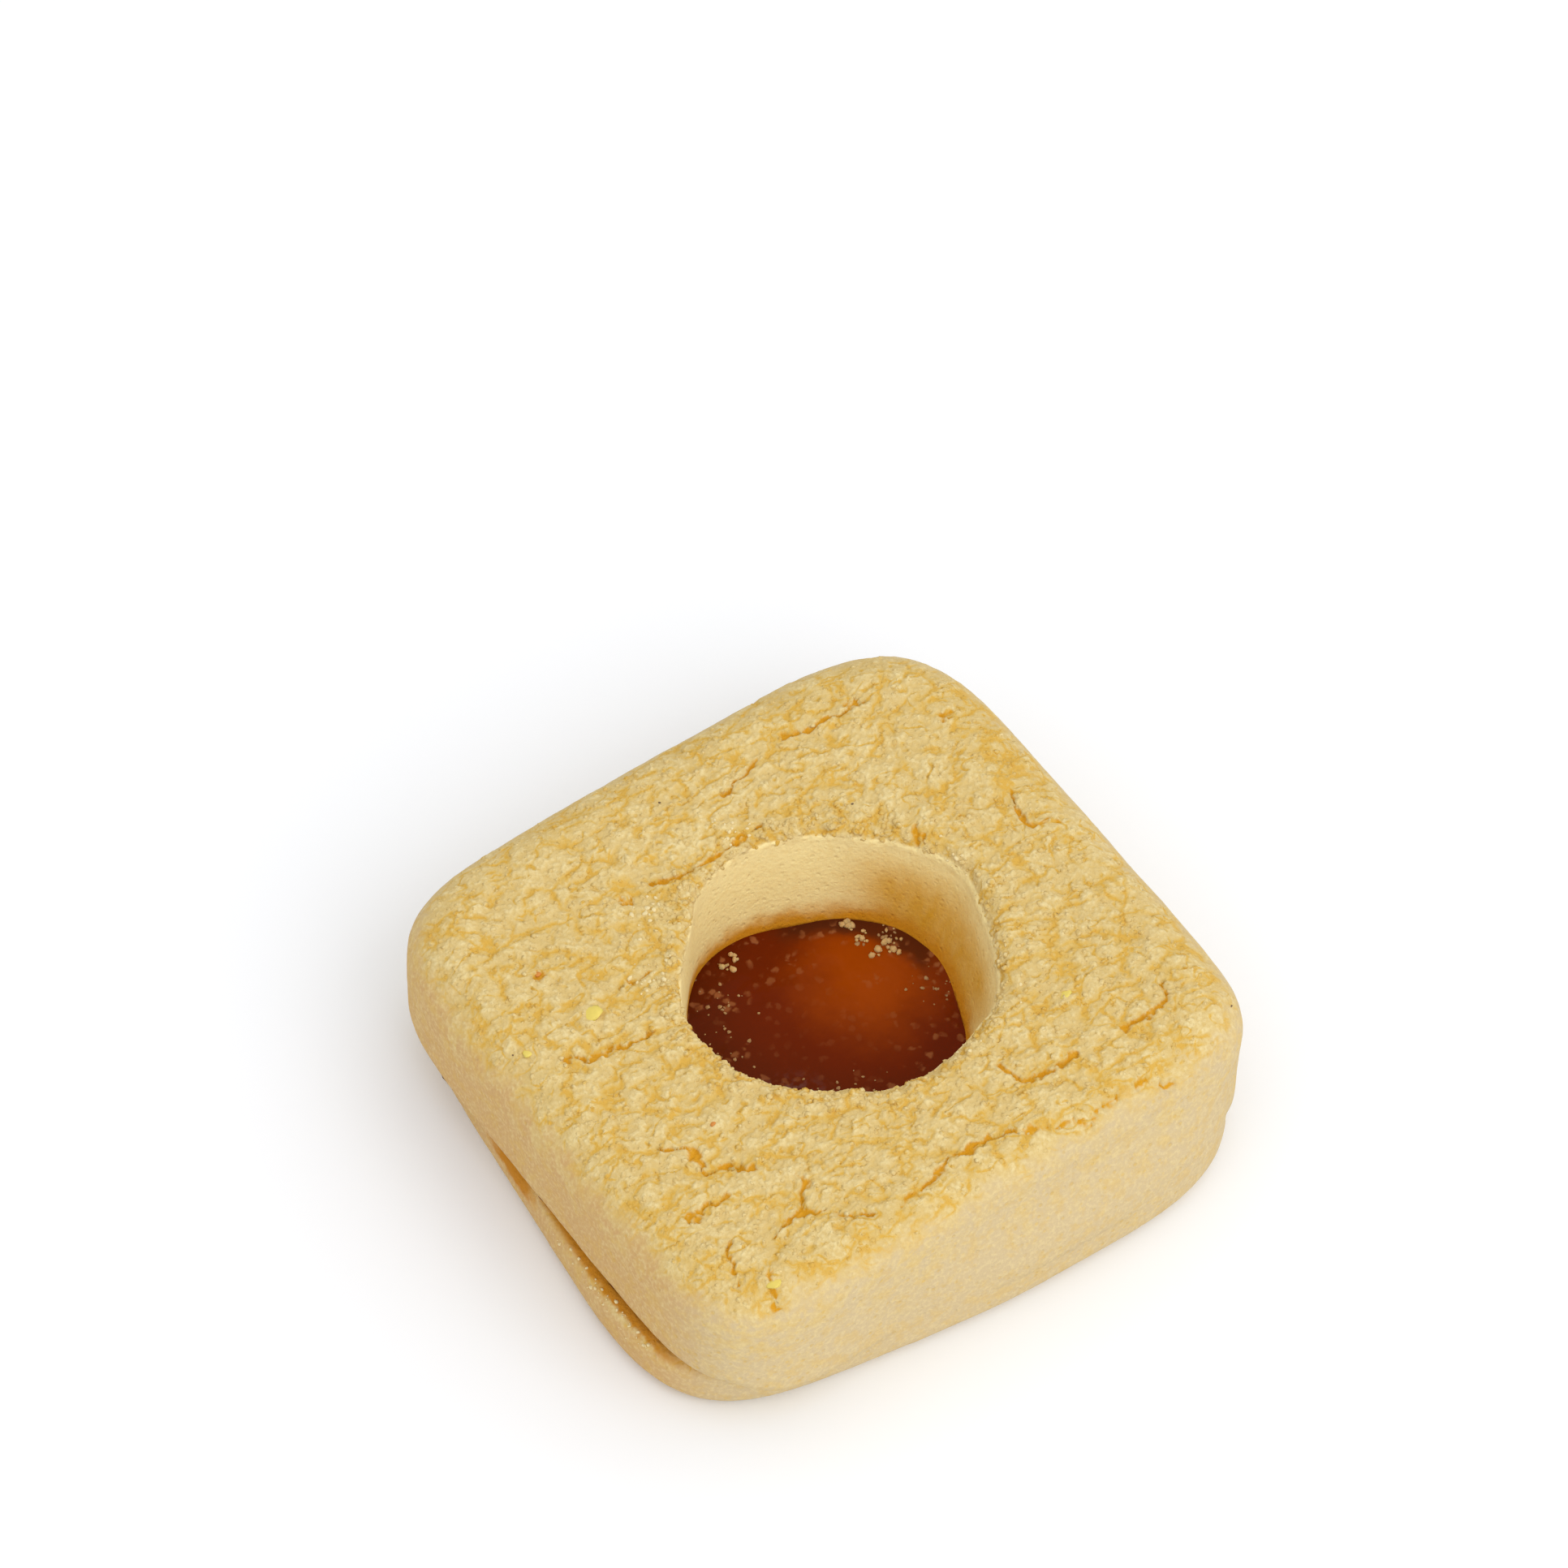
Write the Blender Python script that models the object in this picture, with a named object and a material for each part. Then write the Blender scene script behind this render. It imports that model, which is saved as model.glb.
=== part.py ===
"""An apricot filled biscuit: a shortbread base, a layer of jam and a thicker top with a round well.

The frame is +Z up with the origin on the floor, at the middle of the biscuit. -X is the side where the jam
shows between the two biscuits and -Y is the long front side. Sizes below are in millimetres.
"""

import bmesh
import bpy
import numpy as np
from mathutils import Vector, noise

MM = 0.001
GAP = 0.3

# Heights of the layers above the floor
TOP_HEIGHT = 18.4
BASE_HEIGHT = 5.9
JAM_BOTTOM = BASE_HEIGHT + GAP
JAM_THICKNESS = 0.45
JAM_TOP = JAM_BOTTOM + JAM_THICKNESS
TOP_UNDERSIDE = JAM_TOP + GAP

# Directions of the four sides (+X, +Y, -X, -Y) and of the four corners between them, in degrees
SIDES = (0, 90, 180, 270)
CORNERS = (45, 135, 225, 315)

# Top biscuit: half sizes, squareness of each corner and rounding of the upper edge at each side
TOP_CENTRE = (-0.53, 0.51)
TOP_HALF = (30.2, 28.4)
TOP_SQUARENESS = (5.2, 5.8, 6.9, 7.2)
TOP_EDGE = (5.6, 5.0, 4.6, 3.6)
TOP_DRAFT = (0.15, 0.15, 0.15, -0.3)
LOWER_EDGE = 0.3

# Foot of the top: where the seam is closed it leans out to meet the base, over this height
FLARE_MOST = 2.8
FLARE_MARGIN = 0.3
FLARE_HEIGHT = 9.0

# Underside: a lip that laps over the jam except on -X, where it is lifted and the jam shows
LIP_INSET = 2.2
LIP_WIDTH = 0.5
LIP_DROP = JAM_THICKNESS + GAP
LIP_SEAM_ANGLE = 52
JAM_SEAM_ANGLE = 42
SEAM_BLEND_ANGLE = 10

# Well: radii at the floor of the well and at its mouth, and the rounding of its rim
WELL_CENTRE = (1.1, -0.6)
WELL_LOWER_OFFSET = -0.4
WELL_LOWER_RADIUS = 12.5
WELL_MOUTH_RADIUS = 13.9
RIM_ROUNDING = 1.2

# Base biscuit: it lies turned and shifted under the top, with one much rounder corner
BASE_CENTRE = (0.02, -0.29)
BASE_TURN = -5.8
BASE_HALF = (31.0, 28.8)
BASE_SQUARENESS = (5.0, 5.7, 4.8, 4.3)
BASE_UPPER_EDGE = (0.7, 0.7, 2.2, 0.5)
BASE_LOWER_EDGE = 2.2
BASE_SWELL = 0.35
BASE_SWELL_WAVES = 5

# Jam: set back from the top's outline except on -X, with a disc standing a little proud in the well
JAM_INSET = 2.9
JAM_INSET_SEAM = 0.5
JAM_DISC_RADIUS = WELL_LOWER_RADIUS - GAP
JAM_DISC_RISE = 0.35

# Crumb relief: dense crumbs over slow waves, fading out down the smooth sides below a given depth
WAVE_LENGTH = 13.0
WAVE_DEPTH = 0.22
CRUMB_LENGTH = 2.4
CRUMB_DEPTH = 0.24
SIDE_RELIEF = 0.25
RELIEF_BEGINS = 6.6
RELIEF_FADE = 3.0

# Cracks: routes across the top relative to its centre, each with a half width and a depth
CRACKS = (
    (((-20, -21), (-16, -20), (-12, -23.5), (-6, -24.5), (0, -24), (6, -26), (20, -27)), 0.75, 0.7),
    (((-23, -20), (-24.5, -22.5), (-25.5, -24.5)), 0.7, 0.6),
    (((-22.5, -8), (-21, -12), (-17, -15)), 0.7, 0.5),
    (((-24.5, 4), (-20, 2), (-16, 1.8)), 0.7, 0.45),
    (((-8, 14.8), (-2, 14.7), (4, 14.6)), 0.7, 0.55),
    (((11.6, 21.3), (19, 21)), 0.7, 0.45),
    (((6.5, -18), (9.5, -21.5), (13, -21.4), (18, -21), (23, -19.5)), 0.7, 0.4),
)

# How finely the skins are divided: steps round the outline, and rings along each stretch of the section
TOP_ANGLES = 132
BASE_ANGLES = 88
JAM_ANGLES = 72
FINE_ANGLES = 1440
UNDERSIDE_RINGS = 5
SIDE_RINGS = 6
EDGE_RINGS = 7
CROWN_RINGS = 14
RIM_RINGS = 3
WALL_RINGS = 3
BASE_EDGE_RINGS = 4


def blend(angles, directions, values):
    """Values stated for four directions, turned smoothly into one another round the biscuit."""
    weights = np.clip(np.cos(angles[:, None] - np.radians(directions)), 0, None) ** 2
    return weights @ np.array(values, float) / weights.sum(axis=1)


def rounded_square(angles, half, squareness):
    """Outline points by angle, and the outward direction at each."""
    power = blend(angles, CORNERS, squareness)
    radius = (abs(np.cos(angles) / half[0]) ** power + abs(np.sin(angles) / half[1]) ** power) ** (-1 / power)
    points = radius[:, None] * np.column_stack((np.cos(angles), np.sin(angles)))
    along = np.roll(points, -1, axis=0) - np.roll(points, 1, axis=0)
    outward = np.column_stack((along[:, 1], -along[:, 0]))
    return points, outward / np.linalg.norm(outward, axis=1)[:, None]


def circle(angles, radius, centre):
    return radius * np.column_stack((np.cos(angles), np.sin(angles))) + centre


def full_turn(count):
    return np.linspace(0, 2 * np.pi, count, endpoint=False)


def smooth_step(value):
    value = np.clip(value, 0, 1)
    return value * value * (3 - 2 * value)


def at_height(points, height):
    return np.column_stack((points, np.broadcast_to(height, len(points))))


def seam_opening(angles, half_angle):
    """1 along the -X side, where the seam is open, and 0 further round than half_angle from its middle."""
    away = np.degrees(abs(angles - np.pi))
    return smooth_step((half_angle - away) / SEAM_BLEND_ANGLE)


def distance_to_route(points, route):
    """Distance of each point from the nearest stretch of a crack's route."""
    nearest = np.full(len(points), np.inf)
    for start, end in zip(np.array(route[:-1], float), np.array(route[1:], float)):
        stretch = end - start
        share = np.clip((points - start) @ stretch / (stretch @ stretch), 0, 1)
        gap = np.linalg.norm(points - start - share[:, None] * stretch, axis=1)
        nearest = np.minimum(nearest, gap)
    return nearest


def noise_at(points, length):
    return np.array([noise.noise(Vector(point) / length) for point in points])


def relief(points):
    """How far the crust stands out from its smooth form, at each point of the top biscuit."""
    height_share = smooth_step((points[:, 2] - TOP_HEIGHT + RELIEF_BEGINS) / RELIEF_FADE)
    amount = SIDE_RELIEF + (1 - SIDE_RELIEF) * height_share
    stands = WAVE_DEPTH * noise_at(points, WAVE_LENGTH) + CRUMB_DEPTH * noise_at(points, CRUMB_LENGTH)
    stands = stands * amount
    for route, half_width, depth in CRACKS:
        away = distance_to_route(points[:, :2], route)
        stands -= depth * height_share * np.exp(-((away / half_width) ** 2))
    return stands


def base_outline(angles):
    """The base's outline and outward directions, before it is turned, with the swell of its front side."""
    outline, outward = rounded_square(angles, BASE_HALF, BASE_SQUARENESS)
    front = np.clip(-np.sin(angles), 0, None) ** 2
    swell = BASE_SWELL * front * np.cos(BASE_SWELL_WAVES * (angles - 1.5 * np.pi))
    return outline + swell[:, None] * outward, outward


def placed_base(points):
    """Points of the base, turned and shifted to where it lies under the top."""
    turn = np.radians(BASE_TURN)
    rotation = np.array(((np.cos(turn), np.sin(turn)), (-np.sin(turn), np.cos(turn))))
    return points @ rotation + BASE_CENTRE


def foot_flare(angles, outline, outward):
    """How far the top's foot leans out towards the base's edge, at each angle."""
    base = placed_base(base_outline(full_turn(FINE_ANGLES))[0]) - TOP_CENTRE
    base_angles = np.arctan2(base[:, 1], base[:, 0])
    order = np.argsort(base_angles)
    base_radius = np.linalg.norm(base, axis=1)[order]
    radius = np.linalg.norm(outline, axis=1)
    reach = np.interp(angles, base_angles[order], base_radius, period=2 * np.pi) - radius
    square_on = (outline * outward).sum(axis=1) / radius
    return np.clip(reach * square_on - FLARE_MARGIN, 0, FLARE_MOST)


def lofted(name, rings, closed, material):
    """A skin over rings that follow one another, joined end to end or capped flat at both ends."""
    work = bmesh.new()
    loops = [[work.verts.new(Vector(point) * MM) for point in ring] for ring in rings]
    following = loops[1:] + loops[:1] if closed else loops[1:]
    for loop, following_loop in zip(loops, following):
        for i in range(len(loop)):
            j = (i + 1) % len(loop)
            work.faces.new((loop[i], loop[j], following_loop[j], following_loop[i]))
    if not closed:
        work.faces.new(loops[0][::-1])
        work.faces.new(loops[-1])
    bmesh.ops.triangulate(work, faces=work.faces[:])
    mesh = bpy.data.meshes.new(name)
    work.to_mesh(mesh)
    work.free()
    mesh.materials.append(material)
    mesh.shade_smooth()
    mesh.set_sharp_from_angle(angle=np.radians(40))
    solid = bpy.data.objects.new(name, mesh)
    bpy.context.scene.collection.objects.link(solid)
    return solid


def plain_material(name, colour, roughness):
    material = bpy.data.materials.new(name)
    material.use_nodes = True
    shader = material.node_tree.nodes["Principled BSDF"]
    shader.inputs["Base Color"].default_value = (*colour, 1)
    shader.inputs["Roughness"].default_value = roughness
    shader.inputs["Metallic"].default_value = 0
    return material


def top_rings():
    """Rings of the top biscuit: out along its underside, up the side, in over the top and down the well."""
    angles = full_turn(TOP_ANGLES)
    outline, outward = rounded_square(angles, TOP_HALF, TOP_SQUARENESS)
    edge = blend(angles, SIDES, TOP_EDGE)[:, None] * outward
    edge_height = blend(angles, SIDES, TOP_EDGE)
    lip_bottom = TOP_UNDERSIDE - LIP_DROP * (1 - seam_opening(angles, LIP_SEAM_ANGLE))
    well_floor = np.add(WELL_CENTRE, (WELL_LOWER_OFFSET, 0))
    floor_circle = circle(angles, WELL_LOWER_RADIUS, well_floor)

    rings = [at_height(floor_circle, TOP_UNDERSIDE)]
    lip_inner = outline - LIP_INSET * outward
    rings.append(at_height((floor_circle + lip_inner) / 2, TOP_UNDERSIDE))
    rings.append(at_height(lip_inner, TOP_UNDERSIDE))
    rings.append(at_height(lip_inner + LIP_WIDTH * outward, lip_bottom))
    draft = blend(angles, CORNERS, TOP_DRAFT)
    flare = foot_flare(angles, outline, outward) * (1 - seam_opening(angles, LIP_SEAM_ANGLE))
    rings.append(at_height(outline + (draft + flare - LOWER_EDGE)[:, None] * outward, lip_bottom))
    shoulder = TOP_HEIGHT - edge_height
    for share in np.arange(SIDE_RINGS) / SIDE_RINGS:
        height = (lip_bottom + LOWER_EDGE) * (1 - share) + shoulder * share
        lean = flare * (1 - smooth_step((height - lip_bottom) / FLARE_HEIGHT))
        rings.append(at_height(outline + (draft * (1 - share) + lean)[:, None] * outward, height))
    for turn in np.linspace(0, np.pi / 2, EDGE_RINGS):
        inner = outline - edge * (1 - np.cos(turn))
        rings.append(at_height(inner, shoulder + edge_height * np.sin(turn)))

    brim = outline - edge
    mouth = circle(angles, WELL_MOUTH_RADIUS + RIM_ROUNDING, WELL_CENTRE)
    for share in np.linspace(0, 1, CROWN_RINGS + 1)[1:]:
        rings.append(at_height(brim * (1 - share) + mouth * share, TOP_HEIGHT))
    for turn in np.linspace(0, np.pi / 2, RIM_RINGS + 1)[1:]:
        radius = WELL_MOUTH_RADIUS + RIM_ROUNDING * (1 - np.sin(turn))
        height = TOP_HEIGHT - RIM_ROUNDING * (1 - np.cos(turn))
        rings.append(at_height(circle(angles, radius, WELL_CENTRE), height))
    wall_top = circle(angles, WELL_MOUTH_RADIUS, WELL_CENTRE)
    for share in np.linspace(0, 1, WALL_RINGS + 2)[1:-1]:
        height = (TOP_HEIGHT - RIM_ROUNDING) * (1 - share) + TOP_UNDERSIDE * share
        rings.append(at_height(wall_top * (1 - share) + floor_circle * share, height))
    return rings


def with_relief(rings, first_ring):
    """The rings from first_ring on, each point moved along its surface's normal by the crust's relief."""
    grid = np.array(rings)
    around = np.roll(grid, -1, axis=1) - np.roll(grid, 1, axis=1)
    across = np.roll(grid, -1, axis=0) - np.roll(grid, 1, axis=0)
    normals = np.cross(around, across)
    normals /= np.linalg.norm(normals, axis=2)[:, :, None]
    for k in range(first_ring, len(grid)):
        grid[k] += relief(grid[k])[:, None] * normals[k]
    return grid


def base_rings():
    """Rings of the base biscuit, from its flat underside to its flat top."""
    angles = full_turn(BASE_ANGLES)
    outline, outward = base_outline(angles)
    rings = []
    for turn in np.linspace(0, np.pi / 2, BASE_EDGE_RINGS):
        inner = outline - BASE_LOWER_EDGE * (1 - np.sin(turn)) * outward
        rings.append((inner, BASE_LOWER_EDGE * (1 - np.cos(turn))))
    edge = blend(angles, SIDES, BASE_UPPER_EDGE)
    for turn in np.linspace(0, np.pi / 2, BASE_EDGE_RINGS + 1):
        inner = outline - (edge * (1 - np.cos(turn)))[:, None] * outward
        rings.append((inner, BASE_HEIGHT - edge * (1 - np.sin(turn))))
    return [at_height(placed_base(points), height) for points, height in rings]


def jam_rings():
    """Rings of the jam: a thin sheet with a low disc standing in the well."""
    angles = full_turn(JAM_ANGLES)
    outline, outward = rounded_square(angles, TOP_HALF, TOP_SQUARENESS)
    inset = JAM_INSET + (JAM_INSET_SEAM - JAM_INSET) * seam_opening(angles, JAM_SEAM_ANGLE)
    sheet = outline - inset[:, None] * outward
    well_floor = np.add(WELL_CENTRE, (WELL_LOWER_OFFSET, 0))
    disc = circle(angles, JAM_DISC_RADIUS, well_floor)
    disc_top = circle(angles, JAM_DISC_RADIUS - JAM_DISC_RISE, well_floor)
    return [
        at_height(sheet, JAM_BOTTOM),
        at_height(sheet, JAM_TOP),
        at_height(disc, JAM_TOP),
        at_height(disc_top, JAM_TOP + JAM_DISC_RISE),
    ]


def moved(rings, centre):
    """The rings carried from their own centre to their place in the biscuit."""
    return [np.asarray(ring) + (*centre, 0) for ring in rings]


# Clear the scene, then build the three layers
for old in list(bpy.data.objects):
    bpy.data.objects.remove(old, do_unlink=True)

crust = plain_material("shortbread", (0.78, 0.58, 0.27), 0.85)
crust_base = plain_material("shortbread_base", (0.70, 0.48, 0.23), 0.85)
jam = plain_material("apricot_jam", (0.35, 0.07, 0.01), 0.18)

lofted("top_biscuit", moved(with_relief(top_rings(), UNDERSIDE_RINGS), TOP_CENTRE), True, crust)
lofted("base_biscuit", base_rings(), False, crust_base)
lofted("jam_filling", moved(jam_rings(), TOP_CENTRE), False, jam)
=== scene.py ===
# %% [markdown]
# # An apricot filled biscuit
# Two squares of shortbread hold a layer of apricot jam, and a round well in the thicker top one shows it.
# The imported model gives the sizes. This script dresses it: crumbly crusts, glossy jam, crumbs and zest.

import bpy
import numpy as np
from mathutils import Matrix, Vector, bvhtree


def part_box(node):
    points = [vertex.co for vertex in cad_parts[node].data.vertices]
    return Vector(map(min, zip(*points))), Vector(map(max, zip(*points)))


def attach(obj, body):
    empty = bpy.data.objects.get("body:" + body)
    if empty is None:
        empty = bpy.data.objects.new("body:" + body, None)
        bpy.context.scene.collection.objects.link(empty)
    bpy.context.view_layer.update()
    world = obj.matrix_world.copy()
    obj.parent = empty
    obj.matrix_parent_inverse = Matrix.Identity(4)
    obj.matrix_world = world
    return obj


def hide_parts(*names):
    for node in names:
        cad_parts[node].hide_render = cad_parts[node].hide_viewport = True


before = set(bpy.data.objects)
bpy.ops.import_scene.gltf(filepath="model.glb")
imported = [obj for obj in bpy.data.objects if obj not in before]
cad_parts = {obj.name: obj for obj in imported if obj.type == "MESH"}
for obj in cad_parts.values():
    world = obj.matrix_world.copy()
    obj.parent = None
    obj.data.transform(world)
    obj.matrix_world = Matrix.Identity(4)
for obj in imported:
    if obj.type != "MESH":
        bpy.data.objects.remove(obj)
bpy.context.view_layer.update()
BODY = "root"
MM = 0.001

# %% [markdown]
# The camera has a long lens and looks well down on the biscuit from the front left. It could be aimed at a
# target, but a long lens shows any error in the aim, so its turn and place are stated outright: an azimuth,
# an elevation, a distance, and how far the biscuit lies off the picture's middle.

# %% The camera
CAMERA_AZIMUTH = -34.9
CAMERA_ELEVATION = 54.585
CAMERA_DISTANCE = 800
CAMERA_LENS = 204.78
SENSOR_WIDTH = 36
BISCUIT_RIGHT_OF_MIDDLE = 3.11
BISCUIT_ABOVE_MIDDLE = -26.0
TOP_CENTRE = (-0.53, 0.51)


def added(name, data):
    """A new object in the scene that shows this data."""
    made = bpy.data.objects.new(name, data)
    bpy.context.scene.collection.objects.link(made)
    return made


def directions(azimuth, elevation):
    """Right, up and back for a viewer who looks from this azimuth and elevation, in degrees."""
    turn, rise = np.radians((azimuth, elevation))
    back = np.array((np.sin(turn) * np.cos(rise), -np.cos(turn) * np.cos(rise), np.sin(rise)))
    right = np.array((np.cos(turn), np.sin(turn), 0))
    return right, np.cross(back, right), back


def make_camera():
    right, up, back = directions(CAMERA_AZIMUTH, CAMERA_ELEVATION)
    place = CAMERA_DISTANCE * back - BISCUIT_RIGHT_OF_MIDDLE * right - BISCUIT_ABOVE_MIDDLE * up
    data = bpy.data.cameras.new("camera")
    data.lens = CAMERA_LENS
    data.sensor_width = SENSOR_WIDTH
    camera = added("camera", data)
    camera.rotation_mode = "QUATERNION"
    camera.rotation_quaternion = (-Vector(back)).to_track_quat("-Z", "Y")
    camera.location = (Vector(place) + Vector((*TOP_CENTRE, 0))) * MM
    bpy.context.scene.camera = camera
    return camera


print("camera at", [round(v, 3) for v in make_camera().location])

# %% [markdown]
# Both biscuits are cut with a square cutter that has rounded corners, then swell a little as they bake. A
# superellipse gives such an outline from two half sizes and a squareness. Each corner has its own squareness,
# and each side its own rounding at the top, blended round the biscuit by direction.

# %% Outlines
SIDES = (0, 90, 180, 270)
CORNERS = (45, 135, 225, 315)
TOP_HALF = (30.2, 28.4)
TOP_SQUARENESS = (5.2, 5.8, 6.9, 7.2)
BASE_CENTRE = (0.02, -0.29)
BASE_TURN = -5.8
BASE_HALF = (30.8, 28.8)
BASE_SQUARENESS = (5.0, 5.7, 4.8, 4.3)
BASE_SWELL = 0.35
BASE_SWELL_WAVES = 5
FINE_TURN_STEPS = 7200


def full_turn(count):
    return np.linspace(0, 2 * np.pi, count, endpoint=False)


def smooth_step(value):
    value = np.clip(value, 0, 1)
    return value * value * (3 - 2 * value)


def blend(angles, directions_stated, values):
    """Values stated for four directions, turned smoothly into one another round the biscuit."""
    weights = np.clip(np.cos(angles[:, None] - np.radians(directions_stated)), 0, None) ** 2
    return weights @ np.array(values, float) / weights.sum(axis=1)


def outward_of(points):
    """The outward direction at each point of a closed outline that runs anticlockwise."""
    along = np.roll(points, -1, axis=0) - np.roll(points, 1, axis=0)
    outward = np.column_stack((along[:, 1], -along[:, 0]))
    return outward / np.linalg.norm(outward, axis=1)[:, None]


def rounded_square(angles, half, squareness):
    power = blend(angles, CORNERS, squareness)
    radius = (abs(np.cos(angles) / half[0]) ** power + abs(np.sin(angles) / half[1]) ** power) ** (-1 / power)
    return radius[:, None] * np.column_stack((np.cos(angles), np.sin(angles)))


def even_angles(half, squareness, count):
    """Angles at which a rounded square's outline is divided into equal lengths."""
    fine = full_turn(FINE_TURN_STEPS)
    points = rounded_square(fine, half, squareness)
    lengths = np.linalg.norm(np.roll(points, -1, axis=0) - points, axis=1)
    walked = np.concatenate(((0,), np.cumsum(lengths)))
    return np.interp(np.arange(count) * walked[-1] / count, walked, np.append(fine, 2 * np.pi))


def base_outline(angles):
    """The base biscuit's outline before it is turned, with the swell of its front side."""
    outline = rounded_square(angles, BASE_HALF, BASE_SQUARENESS)
    front = np.clip(-np.sin(angles), 0, None) ** 2
    swell = BASE_SWELL * front * np.cos(BASE_SWELL_WAVES * (angles - 1.5 * np.pi))
    return outline + swell[:, None] * outward_of(outline)


def placed_base(points):
    """Points of the base biscuit, turned and shifted to where it lies under the top."""
    turn = np.radians(BASE_TURN)
    rotation = np.array(((np.cos(turn), np.sin(turn)), (-np.sin(turn), np.cos(turn))))
    return points @ rotation + BASE_CENTRE


def circle(angles, radius, centre):
    return radius * np.column_stack((np.cos(angles), np.sin(angles))) + centre


def at_height(points, height):
    return np.column_stack((points, np.broadcast_to(height, len(points))))


half_size = rounded_square(full_turn(360), TOP_HALF, TOP_SQUARENESS).max(axis=0)
print("the top's outline reaches", half_size.round(2), "mm from its middle")

# %% [markdown]
# A skin is a stack of rings joined by quads. The top biscuit's rings run out along its underside, up the
# side, in over the crown and down the well, so the last ring joins the first and the skin is a closed ring
# without poles. The base and the jam are capped with fans instead.

# %% Skins from rings
def mesh_of(name, points, edges=(), faces=()):
    """A mesh through points in metres."""
    mesh = bpy.data.meshes.new(name)
    mesh.from_pydata(points, edges, faces)
    return mesh


def skin(name, rings, ring_shaped):
    """A mesh object over rings that follow one another. Rings that don't close are capped at both ends."""
    grid = np.array(rings)
    count_rings, count = grid.shape[:2]
    index = np.arange(count_rings * count).reshape(count_rings, count)
    following = np.roll(index, -1, axis=0) if ring_shaped else index[1:]
    lower = index if ring_shaped else index[:-1]
    quads = np.stack((lower, np.roll(lower, -1, axis=1), np.roll(following, -1, axis=1), following), axis=2)
    faces = quads.reshape(-1, 4).tolist()
    points = grid.reshape(-1, 3)
    if not ring_shaped:
        first, last = len(points), len(points) + 1
        points = np.concatenate((points, [grid[0].mean(axis=0), grid[-1].mean(axis=0)]))
        for i in range(count):
            j = (i + 1) % count
            faces.append((index[0, j], index[0, i], first))
            faces.append((index[-1, i], index[-1, j], last))
    mesh = mesh_of(name, (points * MM).tolist(), faces=faces)
    mesh.shade_smooth()
    return added(name, mesh)


def measured(piece):
    """Prints a piece's size and number of triangles."""
    corners = np.array([tuple(corner) for corner in piece.bound_box])
    size = (corners.max(axis=0) - corners.min(axis=0)) / MM
    triangles = sum(len(face.vertices) - 2 for face in piece.data.polygons)
    print(f"{piece.name}: {size.round(1)} mm, {triangles} triangles")


# %% Heights from the frame
BASE_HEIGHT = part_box("base_biscuit")[1].z / MM
JAM_BOTTOM, JAM_DISC_TOP = (corner.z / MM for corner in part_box("jam_filling"))
LIP_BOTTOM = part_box("top_biscuit")[0].z / MM
TOP_HEIGHT = 18.4
TOP_UNDERSIDE = 6.95
heights = {"base": BASE_HEIGHT, "jam from": JAM_BOTTOM, "jam to": JAM_DISC_TOP, "lip from": LIP_BOTTOM}
print("heights in the CAD, mm:", {name: round(height, 2) for name, height in heights.items()})

# %% [markdown]
# The top biscuit's section: a lip laps over the jam and rests on the base, except on the -X side, where it is
# lifted and the jam shows. On the long front side the dough flares out at the foot and welds to the base. The
# crown rolls over into the sides by a quarter turn, and the well narrows towards the jam.

# %% The top biscuit's smooth form
TOP_EDGE = (5.6, 5.0, 4.6, 3.6)
TOP_DRAFT = (0.15, 0.15, 0.15, -0.4)
FOOT_EDGE = 0.25
CLOSED_FOOT_EDGE = 0.03
FLARE_MOST = 3.0
FLARE_HEIGHT = 9.0
LIP_INSET = 2.2
LIP_WIDTH = 0.5
LIP_SEAM_ANGLE = 52
SEAM_BLEND_ANGLE = 10
LIP_SINK = 1.5
WELL_CENTRE = (1.1, -0.6)
WELL_FLOOR_CENTRE = (0.7, -0.6)
WELL_FLOOR_RADIUS = 12.5
WELL_MOUTH_RADIUS = 13.9
WELL_BULGES = ((115, 0.7), (65, -0.7), (-20, -0.7), (180, -0.2))
MOUTH_BULGES = ((138, -0.8), (84, 0.35), (56, -0.6), (10, 0.85), (-50, 0.5), (-130, -0.5), (-174, 0.5))
BULGE_WIDTH = 22
WALL_WAVES = ((7, 0.14), (13, 0.08))
LIP_WAVES = ((19, 0.12), (31, 0.08), (47, 0.06))
RIM_ROUNDING = (2.2, 1.2, 1.2, 2.0)
WELL_FLOOR = TOP_UNDERSIDE - 0.1
TOP_ANGLES = 720
UNDERSIDE_RINGS = 3
SIDE_RINGS = 14
ROLL_RINGS = 12
CROWN_RINGS = 68
RIM_RINGS = 10
WALL_RINGS = 24
print("the well narrows from", WELL_MOUTH_RADIUS, "to", WELL_FLOOR_RADIUS, "mm in radius")


# %% How the top's foot and well depart from plain forms
def seam_opening(angles, half_angle):
    """1 along the -X side, where the seam is open, and 0 further round than half_angle from its middle."""
    away = np.degrees(abs(angles - np.pi))
    return smooth_step((half_angle - away) / SEAM_BLEND_ANGLE)


def foot_flare(angles, outline, outward, draft):
    """How far the top's foot leans out to meet the base's edge, at each angle, past its draft."""
    base = placed_base(base_outline(full_turn(FINE_TURN_STEPS))) - TOP_CENTRE
    base_angles = np.arctan2(base[:, 1], base[:, 0])
    base_radius = np.linalg.norm(base, axis=1)
    radius = np.linalg.norm(outline, axis=1)
    reach = np.interp(angles, base_angles, base_radius, period=2 * np.pi) - radius
    square_on = (outline * outward).sum(axis=1) / radius
    return np.clip(reach * square_on - draft, 0, FLARE_MOST)


def bulged(angles, radius, bulges):
    """The well's radius at each angle: the hole isn't quite round, so bulges are stated by direction."""
    radius = np.full(len(angles), radius)
    for direction, amount in bulges:
        away = (np.degrees(angles) - direction + 180) % 360 - 180
        radius += amount * np.exp(-((away / BULGE_WIDTH) ** 2))
    return radius


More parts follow.
